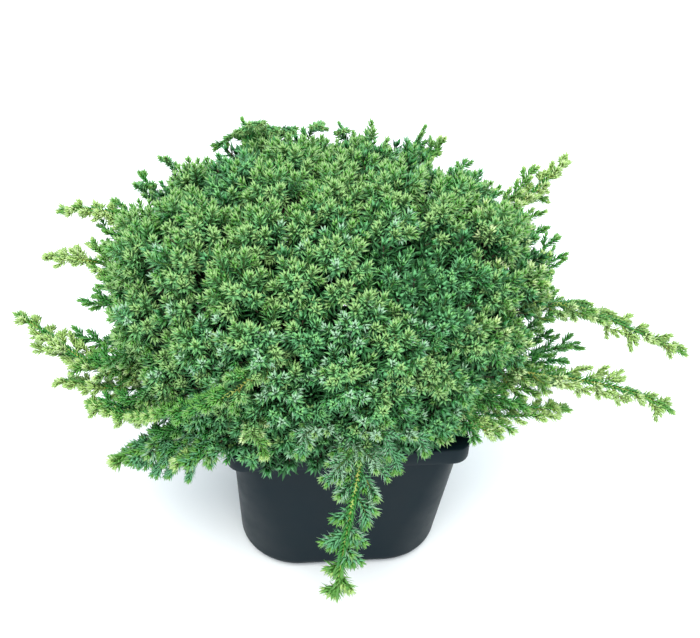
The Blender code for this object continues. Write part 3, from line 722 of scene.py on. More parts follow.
# Azimuth and rise of clumps put in where the crown gaped.
FILLERS = ((206.0, 36.0), (263.0, 57.0), (212.0, 53.0), (226.0, 72.0), (267.0, 49.0))
FILLER_RADIUS = 0.027
FILLER_RISE = -0.011
PATH_POINTS = 9
GOLDEN = math.pi * (3.0 - math.sqrt(5.0))
SIDE_COUNT = 2
SIDE_FROM = 0.0150          # the first side branchlet's distance from its branchlet's tip
SIDE_STEP = 0.0060
SIDE_LENGTH = (0.0100, 0.0140)
SIDE_LEAN = 44.0
INNER = 2200                # old inner branchlets that close the crown, dull, and dark partly from age and partly as painted shade
INNER_LOWEST = -16.0
INNER_DEPTH = (0.50, 0.88)
crown_rng = np.random.default_rng(SEED)
inner_rng = np.random.default_rng(SEED + 1)


def spiral_place(number, count, lowest):
    """Azimuth and rise of one of count even places on a golden spiral, from a lowest rise up."""
    bottom = math.sin(math.radians(lowest))
    height = bottom + (1.0 - bottom) * (number + 0.5) / count
    return math.degrees(GOLDEN * number), math.degrees(math.asin(height))


def clump_places():
    """Ways from the fork to every clump, on one loosened golden spiral over the crown."""
    rng = random.Random(SEED)
    for k in range(CLUMPS):
        azimuth, rise = spiral_place(k, CLUMPS, CLUMP_LOWEST)
        rise += rng.uniform(-CLUMP_STRAY[0], CLUMP_STRAY[0])
        azimuth += rng.uniform(-CLUMP_STRAY[1], CLUMP_STRAY[1])
        yield direction(azimuth, rise)


def stem_point(limb, target):
    """Where a twig leaves the mass's stem on its way forward to a target."""
    way = WAYS[limb]
    along = way.dot(target - FORK)
    aside = (target - FORK - way * along).length
    nearest = REACHES[limb] * BOUGH_SHARE + 0.012
    return FORK + way * min(max(along - aside * 1.1, nearest), REACHES[limb] * STEM_SHARE)


def surface_point(way):
    """Where a way from the fork meets the crown's surface."""
    return FORK + way * distance_to_crown(FORK, way)


def bezier(start, near, far, tip, count=PATH_POINTS):
    """Points (rows, count, 3) along cubic curves, from rows of control points."""
    t = np.linspace(0.0, 1.0, count)[None, :, None]
    s = 1.0 - t
    return (start[:, None] * s ** 3 + near[:, None] * 3 * s * s * t + far[:, None] * 3 * s * t * t
            + tip[:, None] * t ** 3)


def on_paths(paths, back):
    """Points and headings at distances back (rows, n) from the tip of each path (rows, count, 3)."""
    turned = paths[:, ::-1]
    lengths = np.linalg.norm(np.diff(turned, axis=1), axis=2)
    walked = np.concatenate([np.zeros((len(paths), 1)), np.cumsum(lengths, axis=1)], axis=1)
    index = (walked[:, None, 1:-1] <= back[..., None]).sum(axis=2)
    rows = np.arange(len(paths))[:, None]
    share = (back - walked[rows, index]) / lengths[rows, index]
    first, second = turned[rows, index], turned[rows, index + 1]
    return first + (second - first) * share[..., None], unit(first - second)


def rods(paths, start_radii, end_radii, sides):
    """Closed tapering tubes along paths (rows, count, 3), as points and triangles."""
    rows, count, _ = paths.shape
    start_radii, end_radii = (np.broadcast_to(radii, rows) for radii in (start_radii, end_radii))
    ways = unit(np.gradient(paths, axis=1))
    across, beside = side_frame(unit(paths[:, -1] - paths[:, 0]))
    across = unit(across[:, None] - ways * (across[:, None] * ways).sum(axis=2, keepdims=True))
    beside = np.cross(ways, across)
    shares = np.linspace(0.0, 1.0, count)[None, :]
    radii = start_radii[:, None] * (1 - shares) + end_radii[:, None] * shares
    turn = (np.arange(sides) * math.tau / sides)[:, None]
    ring = rotated(across[:, :, None], beside[:, :, None], turn)
    points = paths[:, :, None] + ring * radii[:, :, None, None]
    faces = []
    for level in range(count - 1):
        for side in range(sides):
            a = level * sides + side
            b = level * sides + (side + 1) % sides
            faces += [(a, b, b + sides), (a, b + sides, a + sides)]
    top = (count - 1) * sides
    for side in range(1, sides - 1):
        faces += [(0, side + 1, side), (top, top + side, top + side + 1)]
    return points.reshape(-1, 3), repeated(faces, rows, count * sides)


def merge_arrays(parts):
    """Several arrays of points and triangles as one."""
    starts = np.cumsum([0] + [len(points) for points, _ in parts])
    return (np.concatenate([points for points, _ in parts]),
            np.concatenate([faces + start for (_, faces), start in zip(parts, starts)]))


def cap_ways(axis, count, turn):
    """Directions over a cap of a sphere round an axis, on a loosened golden spiral."""
    k = np.arange(count)
    rise = 1.0 - (1.0 - math.cos(DOME_WIDEST)) * (k + 0.4) / count
    around = GOLDEN * k + turn
    flat = np.sqrt(1.0 - rise ** 2)
    across, beside = side_frame(axis[None])
    ways = (across * (flat * np.cos(around))[:, None] + beside * (flat * np.sin(around))[:, None]
            + axis[None] * rise[:, None])
    return unit(ways + crown_rng.normal(0.0, DOME_STRAY, ways.shape))


def rows_of(vectors):
    return np.array([tuple(v) for v in vectors])


def nearness(ways, azimuth, rise, width):
    """1 where a way points at a place on the crown, less to each side over a width in degrees."""
    turned = np.degrees(np.arccos(np.clip(ways @ np.array(direction(azimuth, rise)), -1.0, 1.0)))
    return np.exp(-(turned / width) ** 2)


def of_clumps(span, filler):
    """A value for each clump: drawn for those on the spiral, set for the fillers."""
    return np.append(crown_rng.uniform(*span, CLUMPS), np.full(len(FILLERS), filler))


clump_ways = [*clump_places(), *(direction(*filler) for filler in FILLERS)]
all_clumps = len(clump_ways)
clump_limbs = np.array([owner(way) for way in clump_ways])
surfaces = [surface_point(way) for way in clump_ways]
clump_axes = rows_of([(way + crown_normal(surface) * 0.6 + UP * 0.25).normalized()
                      for way, surface in zip(clump_ways, surfaces)])
dome_radii = of_clumps(DOME_RADIUS, FILLER_RADIUS)
dome_rises = of_clumps(DOME_RISE, FILLER_RISE)
# How far each clump stands back; crown_tones also turns this into painted shade and painted light.
sunk = sum(depth / 1000 * nearness(rows_of(clump_ways), *dip) for *dip, depth in DIPS)
dome_middles = rows_of(surfaces) - clump_axes * (dome_radii - (dome_rises - sunk))[:, None]
clump_roots = rows_of([stem_point(limb, Vector(middle)) for limb, middle in zip(clump_limbs, dome_middles)])
clump_ends = dome_middles + clump_axes * dome_radii[:, None] * 0.2
spans = np.linalg.norm(clump_ends - clump_roots, axis=1, keepdims=True)
clump_stems = bezier(clump_roots, clump_roots + rows_of(WAYS)[clump_limbs] * spans * 0.25,
                     clump_ends - clump_axes * spans * 0.45, clump_ends)


def dome(clump):
    """The branchlets of one dome: where each starts, its heading there, its tip and way out."""
    radius = dome_radii[clump]
    area = math.tau * radius ** 2 * (1.0 - math.cos(DOME_WIDEST))
    count = round(area / (BRANCHLET_SPACING ** 2 * 0.866))
    outward = cap_ways(clump_axes[clump], count, crown_rng.uniform(0.0, math.tau))
    reach = radius * crown_rng.uniform(*BRANCHLET_REACH, (count, 1))
    leader = crown_rng.random((count, 1)) < LEADER_SHARE
    reach = reach + leader * crown_rng.uniform(*LEADER_REACH, (count, 1))
    slope = (outward * clump_axes[clump]).sum(axis=1, keepdims=True)
    back = radius * (0.10 + 0.85 * (1.0 - slope))
    foot, heading = on_paths(np.repeat(clump_stems[clump][None], count, axis=0), back)
    return (foot[:, 0], heading[:, 0], dome_middles[clump] + outward * reach, outward,
            np.full(count, clump))


def gathered(rows):
    """Arrays from rows of arrays, joined column by column."""
    return map(np.concatenate, zip(*rows))


bases, headings, ends, ways_out, clump_of = gathered(dome(clump) for clump in range(all_clumps))
depths = np.linalg.norm(ends[:, None] - dome_middles[None], axis=2) / dome_radii[None]
depths[np.arange(len(ends)), clump_of] = 9.0
facing = np.clip(-ends[:, 1] / np.linalg.norm(ends[:, :2], axis=1), 0.0, 1.0) ** 2
kept = (depths.min(axis=1) > COVERED) & (ends[:, 2] > CROWN_FLOOR + 0.004 + FRONT_SKIRT * facing)
bases, headings, ends, ways_out, clump_of = (a[kept] for a in (bases, headings, ends, ways_out, clump_of))
final = unit(ways_out * 0.36 + clump_axes[clump_of] * 0.20 + np.array([(0.0, 0.0, 0.80)]))
spans = np.linalg.norm(ends - bases, axis=1, keepdims=True)
branchlets = bezier(bases, bases + headings * spans * 0.2 + ways_out * spans * 0.2,
                    ends - final * spans * 0.38, ends)


def fork_off(roots, ways, outs, lengths, lean):
    """Twigs (rows) that leave at roots between a heading and a way out, and curve forward."""
    lean = math.radians(lean)
    lengths = lengths.reshape(-1, 1)
    first = rotated(ways, outs, lean * 1.35)
    last = rotated(ways, outs, lean * 0.6)
    tips = roots + (first + last) * 0.5 * lengths
    return bezier(roots, roots + first * lengths * 0.35, tips - last * lengths * 0.4, tips)


def side_branchlets(paths, backs, lengths, lean, turns):
    """Short twigs round each path (rows), at distances back (rows, n) from its tip."""
    roots, ways = on_paths(paths, backs)
    across, beside = side_frame(ways)
    outs = rotated(across, beside, turns[..., None])
    return fork_off(*(a.reshape(-1, 3) for a in (roots, ways, outs)), lengths, lean)


shape = (len(branchlets), SIDE_COUNT)
nth_side = np.arange(SIDE_COUNT)[None]
side_backs = SIDE_FROM + nth_side * SIDE_STEP + crown_rng.uniform(-0.0012, 0.0012, shape)
side_lengths = crown_rng.uniform(*SIDE_LENGTH, shape)
side_turns = (crown_rng.uniform(0, math.tau, (len(branchlets), 1)) + nth_side * 2.25
              + crown_rng.normal(0, 0.25, shape))
sides = side_branchlets(branchlets, side_backs, side_lengths, SIDE_LEAN, side_turns)


def inner_path(number):
    """Control points of one old inner branchlet."""
    way = direction(*spiral_place(number, INNER, INNER_LOWEST))
    depth = inner_rng.uniform(*INNER_DEPTH)
    place = FORK + way * distance_to_crown(FORK, way) * depth
    root = stem_point(owner(way), place)
    lean = (way + Vector(inner_rng.normal(0.0, 0.5, 3))).normalized()
    tip = place + lean * 0.012
    tip.z = max(tip.z, CROWN_FLOOR + 0.004)
    return rows_of((root, root.lerp(place, 0.5), place - lean * 0.006, tip))


inner_branchlets = bezier(*np.array([inner_path(k) for k in range(INNER)]).transpose(1, 0, 2))

# Leading shoots.
# Long young shoots run out all round past the dense crown, flat and slightly arched, with side
# branchlets to left and right that grow shorter towards a pale lime tip.
SHOOTS = (                  # in degrees and mm: azimuth and height where each leaves the crown,
    # azimuth, reach and height of its tip, its arch, and its habit as in RUNNER_HABIT
    ("shoot_left_long", 185, 196, 172.6, 310, 222, 2, 0.68, 8.0, 1.9, 0.1),
    ("shoot_left_middle", 166, 262, 165.6, 286, 261, 3, 1.00, 9.4, 1.7, 0.1),
    ("shoot_left_upper", 158, 297, 161.2, 280, 299, 6, 0.50, 7.3, 1.7, 0.0),
    ("shoot_left_feather", 188, 186, 180.5, 266, 170, 4, 0.58, 7.6, 1.5, 0.0),
    ("shoot_left_low", 197, 178, 189.6, 242, 172, 3, 0.45, 7.1, 1.5, 0.0),
    ("shoot_front_left_hanging", 205, 162, 201, 231, 149, -6, 0.74, 8.3, 1.7, -0.2),
    ("shoot_front_left_short", 221, 176, 213.6, 188, 160, 4, 0.40, 6.9, 1.5, 0.0),
    ("shoot_front_hanging", 270.5, 204, 264.6, 222, 112, 22, 0.76, 11.2, 2.9, 0.0),
    ("shoot_front_right_short", 318, 190, 319.5, 178, 184, 4, 0.45, 7.1, 1.5, 0.0),
    ("shoot_right_low", 332, 184, 339.3, 223, 182, 4, 0.40, 6.9, 1.5, -0.2),
    ("shoot_right_long_front", 343, 208, 339, 310, 203, 18, 0.88, 8.9, 1.8, -0.2),
    ("shoot_right_long", 357, 253, 347.2, 317, 236, 3, 0.92, 9.1, 1.8, -0.25),
    ("shoot_right_upper", 28, 298, 27.7, 263, 334, 0, 0.56, 7.5, 1.7, 0.3),
    ("shoot_back_right", 54, 232, 52, 264, 226, 6, 0.90, 9.0, 1.7, 0.0),
    ("shoot_back", 97, 248, 99, 229, 258, 2, 0.90, 9.0, 1.7, 0.0),
    ("shoot_back_left", 128, 232, 126, 272, 218, 6, 0.90, 9.0, 1.7, 0.0),
)
YOUNGEST = "shoot_right_upper"      # the shoot that is young nearly all along
RUNNER = (                  # a shoot along the crown's surface: azimuth, rise, how far out it lies
    (238.0, 29.0, -0.016), (234.0, 25.5, 0.002), (229.0, 22.0, 0.008), (220.0, 15.0, 0.009),
    (210.0, 8.0, 0.009), (198.0, -2.0, 0.008))
RUNNER_TIP = (-0.233, -0.042, 0.178)
# How long its sides are as a share of the longest, mm between them, its stem's radius in mm, and
# how much its sides lift.
RUNNER_HABIT = (0.46, 7.1, 2.0, 0.2)
SHOOT_RADIUS = 0.0016
SHOOT_STEPS = 41
SHOOT_INSIDE = 0.060        # a shoot is clad from this far back inside the crown
SHOOT_SIDE_LONG = 0.040
SHOOT_SIDE_SHORT = 0.011
SHOOT_SIDE_LEAN = 38.0
SHOOT_TRIM = 0.006          # the stem ends this far short, for the needles to reach the tip
CLAD_POINTS = 33
SUNNY, PLAIN, COOL, YOUNG, MIDDLE, FRESH, HANGING, SHADED, OLD_AND_SHADED = range(9)       # rows of TONES
SPRIGS = (                  # smaller sprigs that break the crown's edge, in the same terms, with
    # the length of their side branchlets in mm and how old their growth is
    (170, 230, 172.5, 245, 233, 2, 22, FRESH), (177, 204, 175.7, 256, 210, 2, 22, FRESH),
    (196, 182, 191.2, 230, 186, 2, 16, PLAIN), (205, 164, 200.3, 222, 143, -4, 16, HANGING),
    (206, 164, 203.4, 210, 132, -4, 18, HANGING), (211, 168, 207.4, 202, 132, 0, 18, HANGING),
    (215, 172, 210.4, 193, 134, 0, 14, HANGING), (220, 180, 217.6, 183, 142, 4, 8, HANGING),
    (210, 186, 204, 196, 176, 2, 12, FRESH), (198, 196, 192.5, 214, 197, 2, 20, FRESH),
    (190, 222, 186, 224, 226, 2, 18, FRESH), (186, 204, 182, 236, 206, 2, 18, FRESH),
    (240, 236, 245.7, 180, 219, 6, 14, MIDDLE), (254, 240, 254.8, 180, 226, 4, 14, HANGING),
    (268, 214, 260.5, 188, 206, 6, 18, HANGING), (272, 214, 277, 184, 206, 6, 18, HANGING),
    (287, 226, 290.1, 171, 213, 4, 14, HANGING), (276, 236, 280.9, 176, 206, 4, 16, HANGING),
    (15, 272, 15.5, 223, 287, 2, 18, FRESH), (10, 268, 9.4, 223, 279, 2, 18, FRESH),
    (357, 198, 358.4, 204, 220, 2, 12, PLAIN), (354, 196, 355.2, 229, 214, 3, 21, FRESH),
    (349, 196, 351.9, 216, 203, 3, 14, PLAIN), (340, 200, 343.5, 214, 196, 3, 18, MIDDLE),
    (336, 200, 338.5, 192, 196, 2, 20, MIDDLE), (330, 200, 332.5, 186, 192, 2, 18, FRESH),
    (328, 182, 335.7, 215, 184, 3, 16, YOUNG), (322, 190, 325.3, 184, 182, 2, 14, MIDDLE),
    (314, 192, 312.2, 167, 188, 2, 10, PLAIN), (97, 340, 94.6, 136, 361, 2, 12, PLAIN),
    (86, 336, 86.1, 146, 352, 2, 10, PLAIN), (106, 338, 105, 143, 353, 2, 10, PLAIN),
    (112, 338, 111, 148, 355, 2, 10, PLAIN), (117, 346, 116.4, 152, 364, 2, 12, FRESH),
    (135, 308, 138.3, 221, 325, 2, 12, PLAIN), (117, 338, 129.2, 188, 331, 3, 9, FRESH),
    (117, 340, 122, 172, 350, 2, 9, FRESH), (62, 330, 60, 184, 346, 2, 14, SUNNY),
    (37, 298, 37.2, 213, 301, 2, 10, SUNNY), (56, 322, 55.8, 195, 342, 2, 12, MIDDLE),
    (58, 324, 57.6, 189, 337, 2, 14, SUNNY), (30, 304, 31.2, 233, 329, 2, 14, MIDDLE),
    (28, 298, 26.1, 238, 299, 2, 10, MIDDLE), (24, 288, 24.7, 225, 288, 2, 12, MIDDLE),
    (20, 280, 21.2, 221, 280, 2, 12, SUNNY), (165, 270, 163.3, 249, 277, 3, 20, MIDDLE),
    (162, 272, 161.7, 237, 278, 2, 14, SUNNY), (157, 306, 158.5, 229, 317, 2, 12, SUNNY),
    (160, 282, 159.8, 244, 289, 2, 12, SUNNY), (148, 308, 146.5, 202, 314, 2, 9, PLAIN),
    (171, 238, 170.4, 238, 237, 2, 18, FRESH), (183, 198, 174.9, 295, 193, 2, 14, YOUNG))
SPRIG_POINTS = 17
SPRIG_LENGTH = 0.120
SPRIG_SIDES_FROM = 0.060    # side branchlets stand on this last part of a sprig
SPRIG_SIDE_STEP = 0.0080
SPRIG_SIDE_SHORT = 0.009
BACK_SPRIGS = 40            # tried at the back, where the photo shows nothing
BACK_AZIMUTHS = (32.0, 152.0)
BACK_REACH = (0.018, 0.034)
BACK_SIDE = 0.016
BACK_APART = 0.022
BACK_TOP = 0.300
shoot_rng = np.random.default_rng(SEED + 2)


def distances_along(path):
    legs = np.linalg.norm(np.diff(path, axis=0), axis=1)
    return np.concatenate([[0.0], np.cumsum(legs)])


def places_along(path, places):
    """Points at distances from the start of one path."""
    walked = distances_along(path)
    return np.column_stack([np.interp(places, walked, path[:, k]) for k in range(3)])


def curve_through(controls, count):
    """Points along one cubic curve, from its four control points."""
    return bezier(*rows_of(controls)[:, None], count)[0]


def shoot_start(azimuth, height):
    out = direction(azimuth, 0.0)
    middle = Vector((0.0, 0.0, height))
    return middle + out * distance_to_crown(middle, out)


def shoot_path(azimuth, height, tip_azimuth, tip_reach, tip_height, arch, count):
    """Points from the crown's surface to the tip, starting in line with the twig inside."""
    start = shoot_start(azimuth, height / 1000)
    first = (start - stem_point(owner(start - FORK), start)).normalized()
    tip = direction(tip_azimuth, 0.0) * (tip_reach / 1000) + UP * (tip_height / 1000)
    length = (tip - start).length
    start = start + first * GAP / 2
    far = tip.lerp(start, 0.35) + UP * (arch / 1000) * 1.6
    whole = curve_through((start, start + first * length * 0.15, far, tip), count)
    return places_along(whole, np.linspace(0.0, distances_along(whole)[-1] - SHOOT_TRIM, count))


def with_leader(stem):
    """A shoot's path with the straight twig inside the crown that it grows on from."""
    start = Vector(stem[0])
    root = stem_point(owner(start - FORK), start)
    return np.concatenate([rows_of(root.lerp(start, share) for share in (0.0, 0.34, 0.67)), stem])


def last_part(path, length):
    """The last part of a path, at most this long, as evenly spaced points."""
    total = distances_along(path)[-1]
    return places_along(path, np.linspace(max(total - length, 0.0), total, CLAD_POINTS))


def shoot_sides(path, step, long, short, lift=0.0):
    """Side branchlets to left and right of a shoot by turns, their share of its length, and sizes."""
    length = distances_along(path)[-1]
    places = np.arange(step * 0.5, length - short * 0.6, step)
    places = places + shoot_rng.uniform(-0.2, 0.2, len(places)) * step
    roots = places_along(path, places)
    ways = unit(places_along(path, places + 0.002) - places_along(path, places - 0.002))
    side = np.where(np.arange(len(places)) % 2 == 0, 1.0, -1.0)[:, None]
    outs = unit(np.cross(ways, (0.0, 0.0, 1.0))) * side
    outs = unit(outs + np.outer(shoot_rng.uniform(-0.50, 0.65, len(places)) + lift, (0.0, 0.0, 1.0)))
    share = places / length
    sizes = (long + (short - long) * share) * shoot_rng.uniform(0.70, 1.20, len(places))
    return fork_off(roots, ways, outs, sizes, SHOOT_SIDE_LEAN), share, sizes


def on_crown(azimuth, rise, out):
    """A point that stands out from the crown's surface, in a direction from the fork."""
    surface = surface_point(direction(azimuth, rise))
    return surface + crown_normal(surface) * out


def long_shoot_sides(number):
    """The sides of one leading shoot, with its number for each."""
    fullness, step, _, lift = habits[number]
    short = SHOOT_SIDE_SHORT * (0.4 + 0.6 * fullness)
    made = shoot_sides(long_clad[number], step / 1000, SHOOT_SIDE_LONG * fullness, short, lift)
    return *made, np.full(len(made[1]), number)


def back_sprig(number):
    """Path and tone of a short feathery sprig at the back, or None where a shoot is near."""
    azimuth = math.degrees(GOLDEN * number * 1.7) % 360.0
    start = shoot_start(azimuth, shoot_rng.uniform(CROWN_FLOOR + 0.010, BACK_TOP))
    away = np.linalg.norm(long_stems[:, 0] - np.array(start), axis=1).min()
    if away < BACK_APART or not BACK_AZIMUTHS[0] < azimuth < BACK_AZIMUTHS[1]:
        return None
    root = stem_point(owner(start - FORK), start)
    drift = Vector(shoot_rng.normal(0.0, 0.32, 3))
    way = (crown_normal(start) + drift + UP * 0.15).normalized()
    tip = start + way * shoot_rng.uniform(*BACK_REACH)
    along = (start - root).normalized()
    path = curve_through((root, root.lerp(start, 0.6), start + along * 0.004, tip), SPRIG_POINTS)
    return path, BACK_SIDE, SUNNY if shoot_rng.random() < 0.45 else PLAIN


runner = rows_of([*(on_crown(*place) for place in RUNNER), RUNNER_TIP])
runner = places_along(runner, np.linspace(0.0, distances_along(runner)[-1], SHOOT_STEPS))
habits = [shoot[7:] for shoot in SHOOTS] + [RUNNER_HABIT]
long_stems = np.array([shoot_path(*shoot[1:7], SHOOT_STEPS) for shoot in SHOOTS] + [runner])
leaders = np.array([with_leader(stem)[:4] for stem in long_stems])
long_lengths = np.array([distances_along(stem)[-1] for stem in long_stems]) + SHOOT_INSIDE
long_clad = np.array([last_part(with_leader(stem), length)
                      for stem, length in zip(long_stems, long_lengths)])
long_sides, long_shares, long_sizes, long_row = gathered(map(long_shoot_sides, range(len(habits))))

sprigs = [(with_leader(shoot_path(*sprig[:6], SPRIG_POINTS)), sprig[6] / 1000, sprig[7])
          for sprig in SPRIGS]
sprigs += filter(None, map(back_sprig, range(BACK_SPRIGS)))
small_stems = np.array([last_part(path, SPRIG_LENGTH) for path, _, _ in sprigs])
small_tone = np.array([tone for _, _, tone in sprigs])


def sprig_sides(number):
    """The sides of one sprig, with its number for each."""
    paths, share, sizes = shoot_sides(last_part(small_stems[number], SPRIG_SIDES_FROM), SPRIG_SIDE_STEP,
                                      sprigs[number][1] * 1.15, SPRIG_SIDE_SHORT)
    return paths, sizes, np.full(len(share), number)


small_sides, small_sizes, small_row = gathered(map(sprig_sides, range(len(sprigs))))

# Wood in three pieces: brown stems, and the tan and green twigs that carry needles.
LIMB_STEM_POINTS = 7
LIMB_STEM_WANDER = 0.0011
LIMB_ROD = (BOUGH_TIP_RADIUS, 0.0015, 8)    # radius at the start and at the end, and sides
CLUMP_ROD = (0.0017, 0.0010, 6)
LEADER_ROD = (0.0018, SHOOT_RADIUS, 7)
INNER_ROD = (0.0009, 0.0005, 3)
BRANCHLET_ROD = (0.0008, 0.0004, 3)
SIDE_ROD = (0.0006, 0.0003, 3)
SPRIG_ROD = (0.0012, 0.0005, 4)
SPRIG_SIDE_ROD = (0.0007, 0.0004, 3)
LONG_SIDE_ROD = (0.0009, 0.0005, 4)
SHOOT_TAPER = 0.5           # a leading shoot's radius at its tip, as a share of that at its foot
SHOOT_FACETS = 6
along_limbs = np.linspace(BOUGH_SHARE, STEM_SHARE, LIMB_STEM_POINTS)[None]
limb_stems = rows_of(WAYS)[:, None] * (np.array(REACHES)[:, None] * along_limbs)[..., None] + np.array(FORK)
wander = shoot_rng.normal(0.0, LIMB_STEM_WANDER, limb_stems.shape)
wander[:, 0] = 0.0
limb_stems = limb_stems + wander
shoot_radii = np.array([radius / 1000 for _, _, radius, _ in habits])
stem_wood = merge_arrays([
    rods(limb_stems, *LIMB_ROD),
    rods(clump_stems, *CLUMP_ROD),
    rods(leaders, *LEADER_ROD),
    rods(inner_branchlets[:, ::4], *INNER_ROD),
])
green_wood = merge_arrays([
    rods(branchlets[:, ::2], *BRANCHLET_ROD),
    rods(sides[:, ::4], *SIDE_ROD),
    rods(small_stems[:, ::4], *SPRIG_ROD),
    rods(small_sides[:, ::4], *SPRIG_SIDE_ROD),
])
twig_wood = merge_arrays([
    rods(long_stems[:, ::2], shoot_radii, shoot_radii * SHOOT_TAPER, SHOOT_FACETS),
    rods(long_sides[:, ::2], *LONG_SIDE_ROD),
])
MASSES = ["mass_" + name for name, _, _ in LIMBS]

# Bark of the second year: thin, brown and dull.
wood_finish, _ = mottled_material("two_year_old_twig_bark", "#7a5233", 0.78, 3.0, (
    (0.35, "#281c12"), (0.68, "#5c4530")), Detail=5.0)
stems = joined_mesh("stems_brown", *stem_wood, [wood_finish])
stems.data.shade_smooth()
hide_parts(*MASSES)
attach(stems, "root")

# Bark of the first year, on the leading shoots: smooth, straw to lime.
tan_finish, _ = mottled_material("first_year_twig_bark", "#a6b868", 0.62, 8.0, (
    (0.35, "#b0a854"), (0.65, "#a9c464")), Detail=3.0)
twigs = joined_mesh("twigs_tan", *twig_wood, [tan_finish])
twigs.data.shade_smooth()
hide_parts(*(shoot[0] for shoot in SHOOTS))
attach(twigs, "root")

# Bark of the crown's branchlets: green, and hidden by their needles for the most part.
green_finish, _ = mottled_material("green_branchlet_bark", "#4f6a34", 0.62, 8.0, (
    (0.35, "#3c4a26"), (0.65, "#5f8a3e")), Detail=3.0)
green_twigs = joined_mesh("twigs_green", *green_wood, [green_finish])
green_twigs.data.shade_smooth()
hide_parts(*MASSES)
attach(green_twigs, "root")

# Needles.
# Sharp awl-shaped leaves in whorls of three, each whorl turned from the last. The upper face,
# towards the shoot's tip, is hollow and pale with bloom, and the keeled back is a cleaner green.
# Each is four points and four triangles. Colour is dealt out by sprays: pale or lime at young
# tips, mint where the bloom shows, then green, blue-green, and deep green on old wood, which inside
# the crown is partly painted shade. Some sprays are darker or lighter as painted shade and painted light.
NEEDLE_LENGTH = 0.0098
NEEDLE_WIDTH = 0.00275
NEEDLE_KEEL = 0.00050
NEEDLE_WIDEST = 0.42        # the widest place, as a share of the length
NEEDLE_CURL = 0.05          # how far the point bends in, as a share of the length
NEEDLE_LENGTHS = (0.90, 1.07)
NEEDLE_STRAY, NEEDLE_TURN, NEEDLE_TWIST = 3.5, 0.10, 0.15
TIP_SHORTER, SHORTER_OVER = 0.34, 0.0020    # the last needles at a tip are shorter,
TIP_LEAN, LEAN_OVER = 22.0, 0.0040          # lean out less,
TIP_CROWDED, CROWDED_OVER = 1.6, 4.0        # and stand closer, by so many whorls over so many
LAST_WHORL = 0.0003         # from a tip to its last whorl
CROWN_HABIT = (0.0027, 1.0, 56.0)   # distance between whorls, size, and how far needles lean out
INNER_HABIT = (0.0042, 1.45, 66.0)
CLAD_HABIT = (0.0015, 46.0)         # distance and lean on a leading shoot's own stem
LONG_HABIT = (0.0018, 46.0)         # and on its side branchlets
SPRIG_HABIT = (0.0018, 0.86, 45.0)
LONG_SIZE, HANGING_SIZE = 0.88, 1.16
CROWN_CLAD = (0.024, 0.032) # how far back from its tip a branchlet carries needles
INNER_CLAD, SPRIG_CLAD = 0.022, 0.085
SIDE_CLAD, STEM_CLAD, TWIG_CLAD = 0.90, 0.97, 0.95      # the same, as shares of their lengths
LONG_TIPS = (               # along each side branchlet: place, length, and turn round it
    (0.34, 0.46, 0.0), (0.56, 0.42, 2.8), (0.74, 0.36, 1.4))
LONG_TIP_LEAN = 36.0
KINDS = ("pale", "lime", "mint", "green", "blue_green", "deep")
YOUNG_KINDS = KINDS[:2]
NEEDLE_COLOURS = (          # upper face and back, in the order of KINDS
    ("#d0eaa8", "#b6de80"), ("#98c578", "#6cb04c"), ("#a0caa6", "#6cb67c"),
    ("#7cc074", "#4a9e44"), ("#62ac6e", "#32843c"), ("#2e7238", "#165424"))
TONES = np.array([          # mm from a tip at which each kind but the last ends; -1 where it is missing
    (-1, 7, 7, 16, 26),             # sunny
    (-1, 2.2, 2.6, 11.5, 23),       # plain
    (-1, -1, 3, 7, 20),             # cool
    (18, 40, 40, 60, 100),          # young shoot
    (3.5, 30, 30, 90, 200),         # middle of a long shoot
    (-1, 5, 5, 30, 70),             # fresh
    (-1, 3, 32, 60, 200),           # hanging, with the bloom turned outwards
    (-1, -1, -1, 4, 16),            # shaded, as painted shade
    (-1, -1, -1, -1, 2),            # old and inside, dark partly from age and partly as painted shade
]) / 1000
BLOOM_ROUGHNESS, WAX_ROUGHNESS, ROUGHNESS_STRAY = 0.58, 0.44, 0.09
WAX_GRAIN_MM = 1.5
YOUNG_PATCHES = (           # azimuth, rise and width in degrees of patches of the crown in young leaf
    (305.0, 39.0, 4.0), (294.0, 23.0, 7.0), (257.0, 54.0, 5.0), (196.0, 34.0, 26.0),
    (288.0, 33.0, 8.0), (232.0, 50.0, 9.0), (180.0, 62.0, 6.0))
FLANK = (0.11, 0.06)        # the viewer's right grows warmer and lighter from this x over this width: partly yellower growth, partly painted light
REAR = (-0.13, 0.13)        # and so does the crown from this y backwards
SKIRT = (-0.285, 0.05)      # in -z: painted shade, the low front grows darker from this height down
FRONT = (0.09, 0.04)        # in -y: and from this far forwards
WARM_LEAST, WARM_MORE, WARM_STRAY = 0.10, 0.60, 0.18
SUNK_COOLS = 30.0           # share of warm sprays lost for each metre that a clump stands back, and gained where it stands out: painted shade in hollows, painted light on bulges
PLAIN_SHARE = 0.38
HOLLOW = 0.005              # a clump that stands back further than this gets painted shade on part of its sprays and the sprays given painted shade there are those this far from being warm
SHADED_MARGIN = 0.20        # and the sprays shaded there are those this far from being warm
# Shares of sprays turned: on the right flank to MIDDLE, partly yellower growth and partly painted light; in
# young patches to FRESH; on the low front to SHADED, as painted shade.
FLANK_YOUNG_AND_LIT, PATCH_YOUNG, SKIRT_SHADED = 0.48, 0.65, 0.70
# Shares of a leading shoot's length past which its side branchlets are younger.
YOUNG_FROM, MIDDLE_FROM, YOUNGEST_FROM, HANGING_FROM, RUNNER_FROM = 0.45, 0.16, 0.20, 0.78, 0.58
PIECE_NEEDLES = 48000       # the most needles a piece holds
NEEDLE_FACES = ((0, 1, 2), (1, 3, 2), (0, 3, 1), (0, 2, 3))
NEEDLE_SHADES = (0, 0, 1, 1)
needle_rng = np.random.default_rng(SEED + 3)


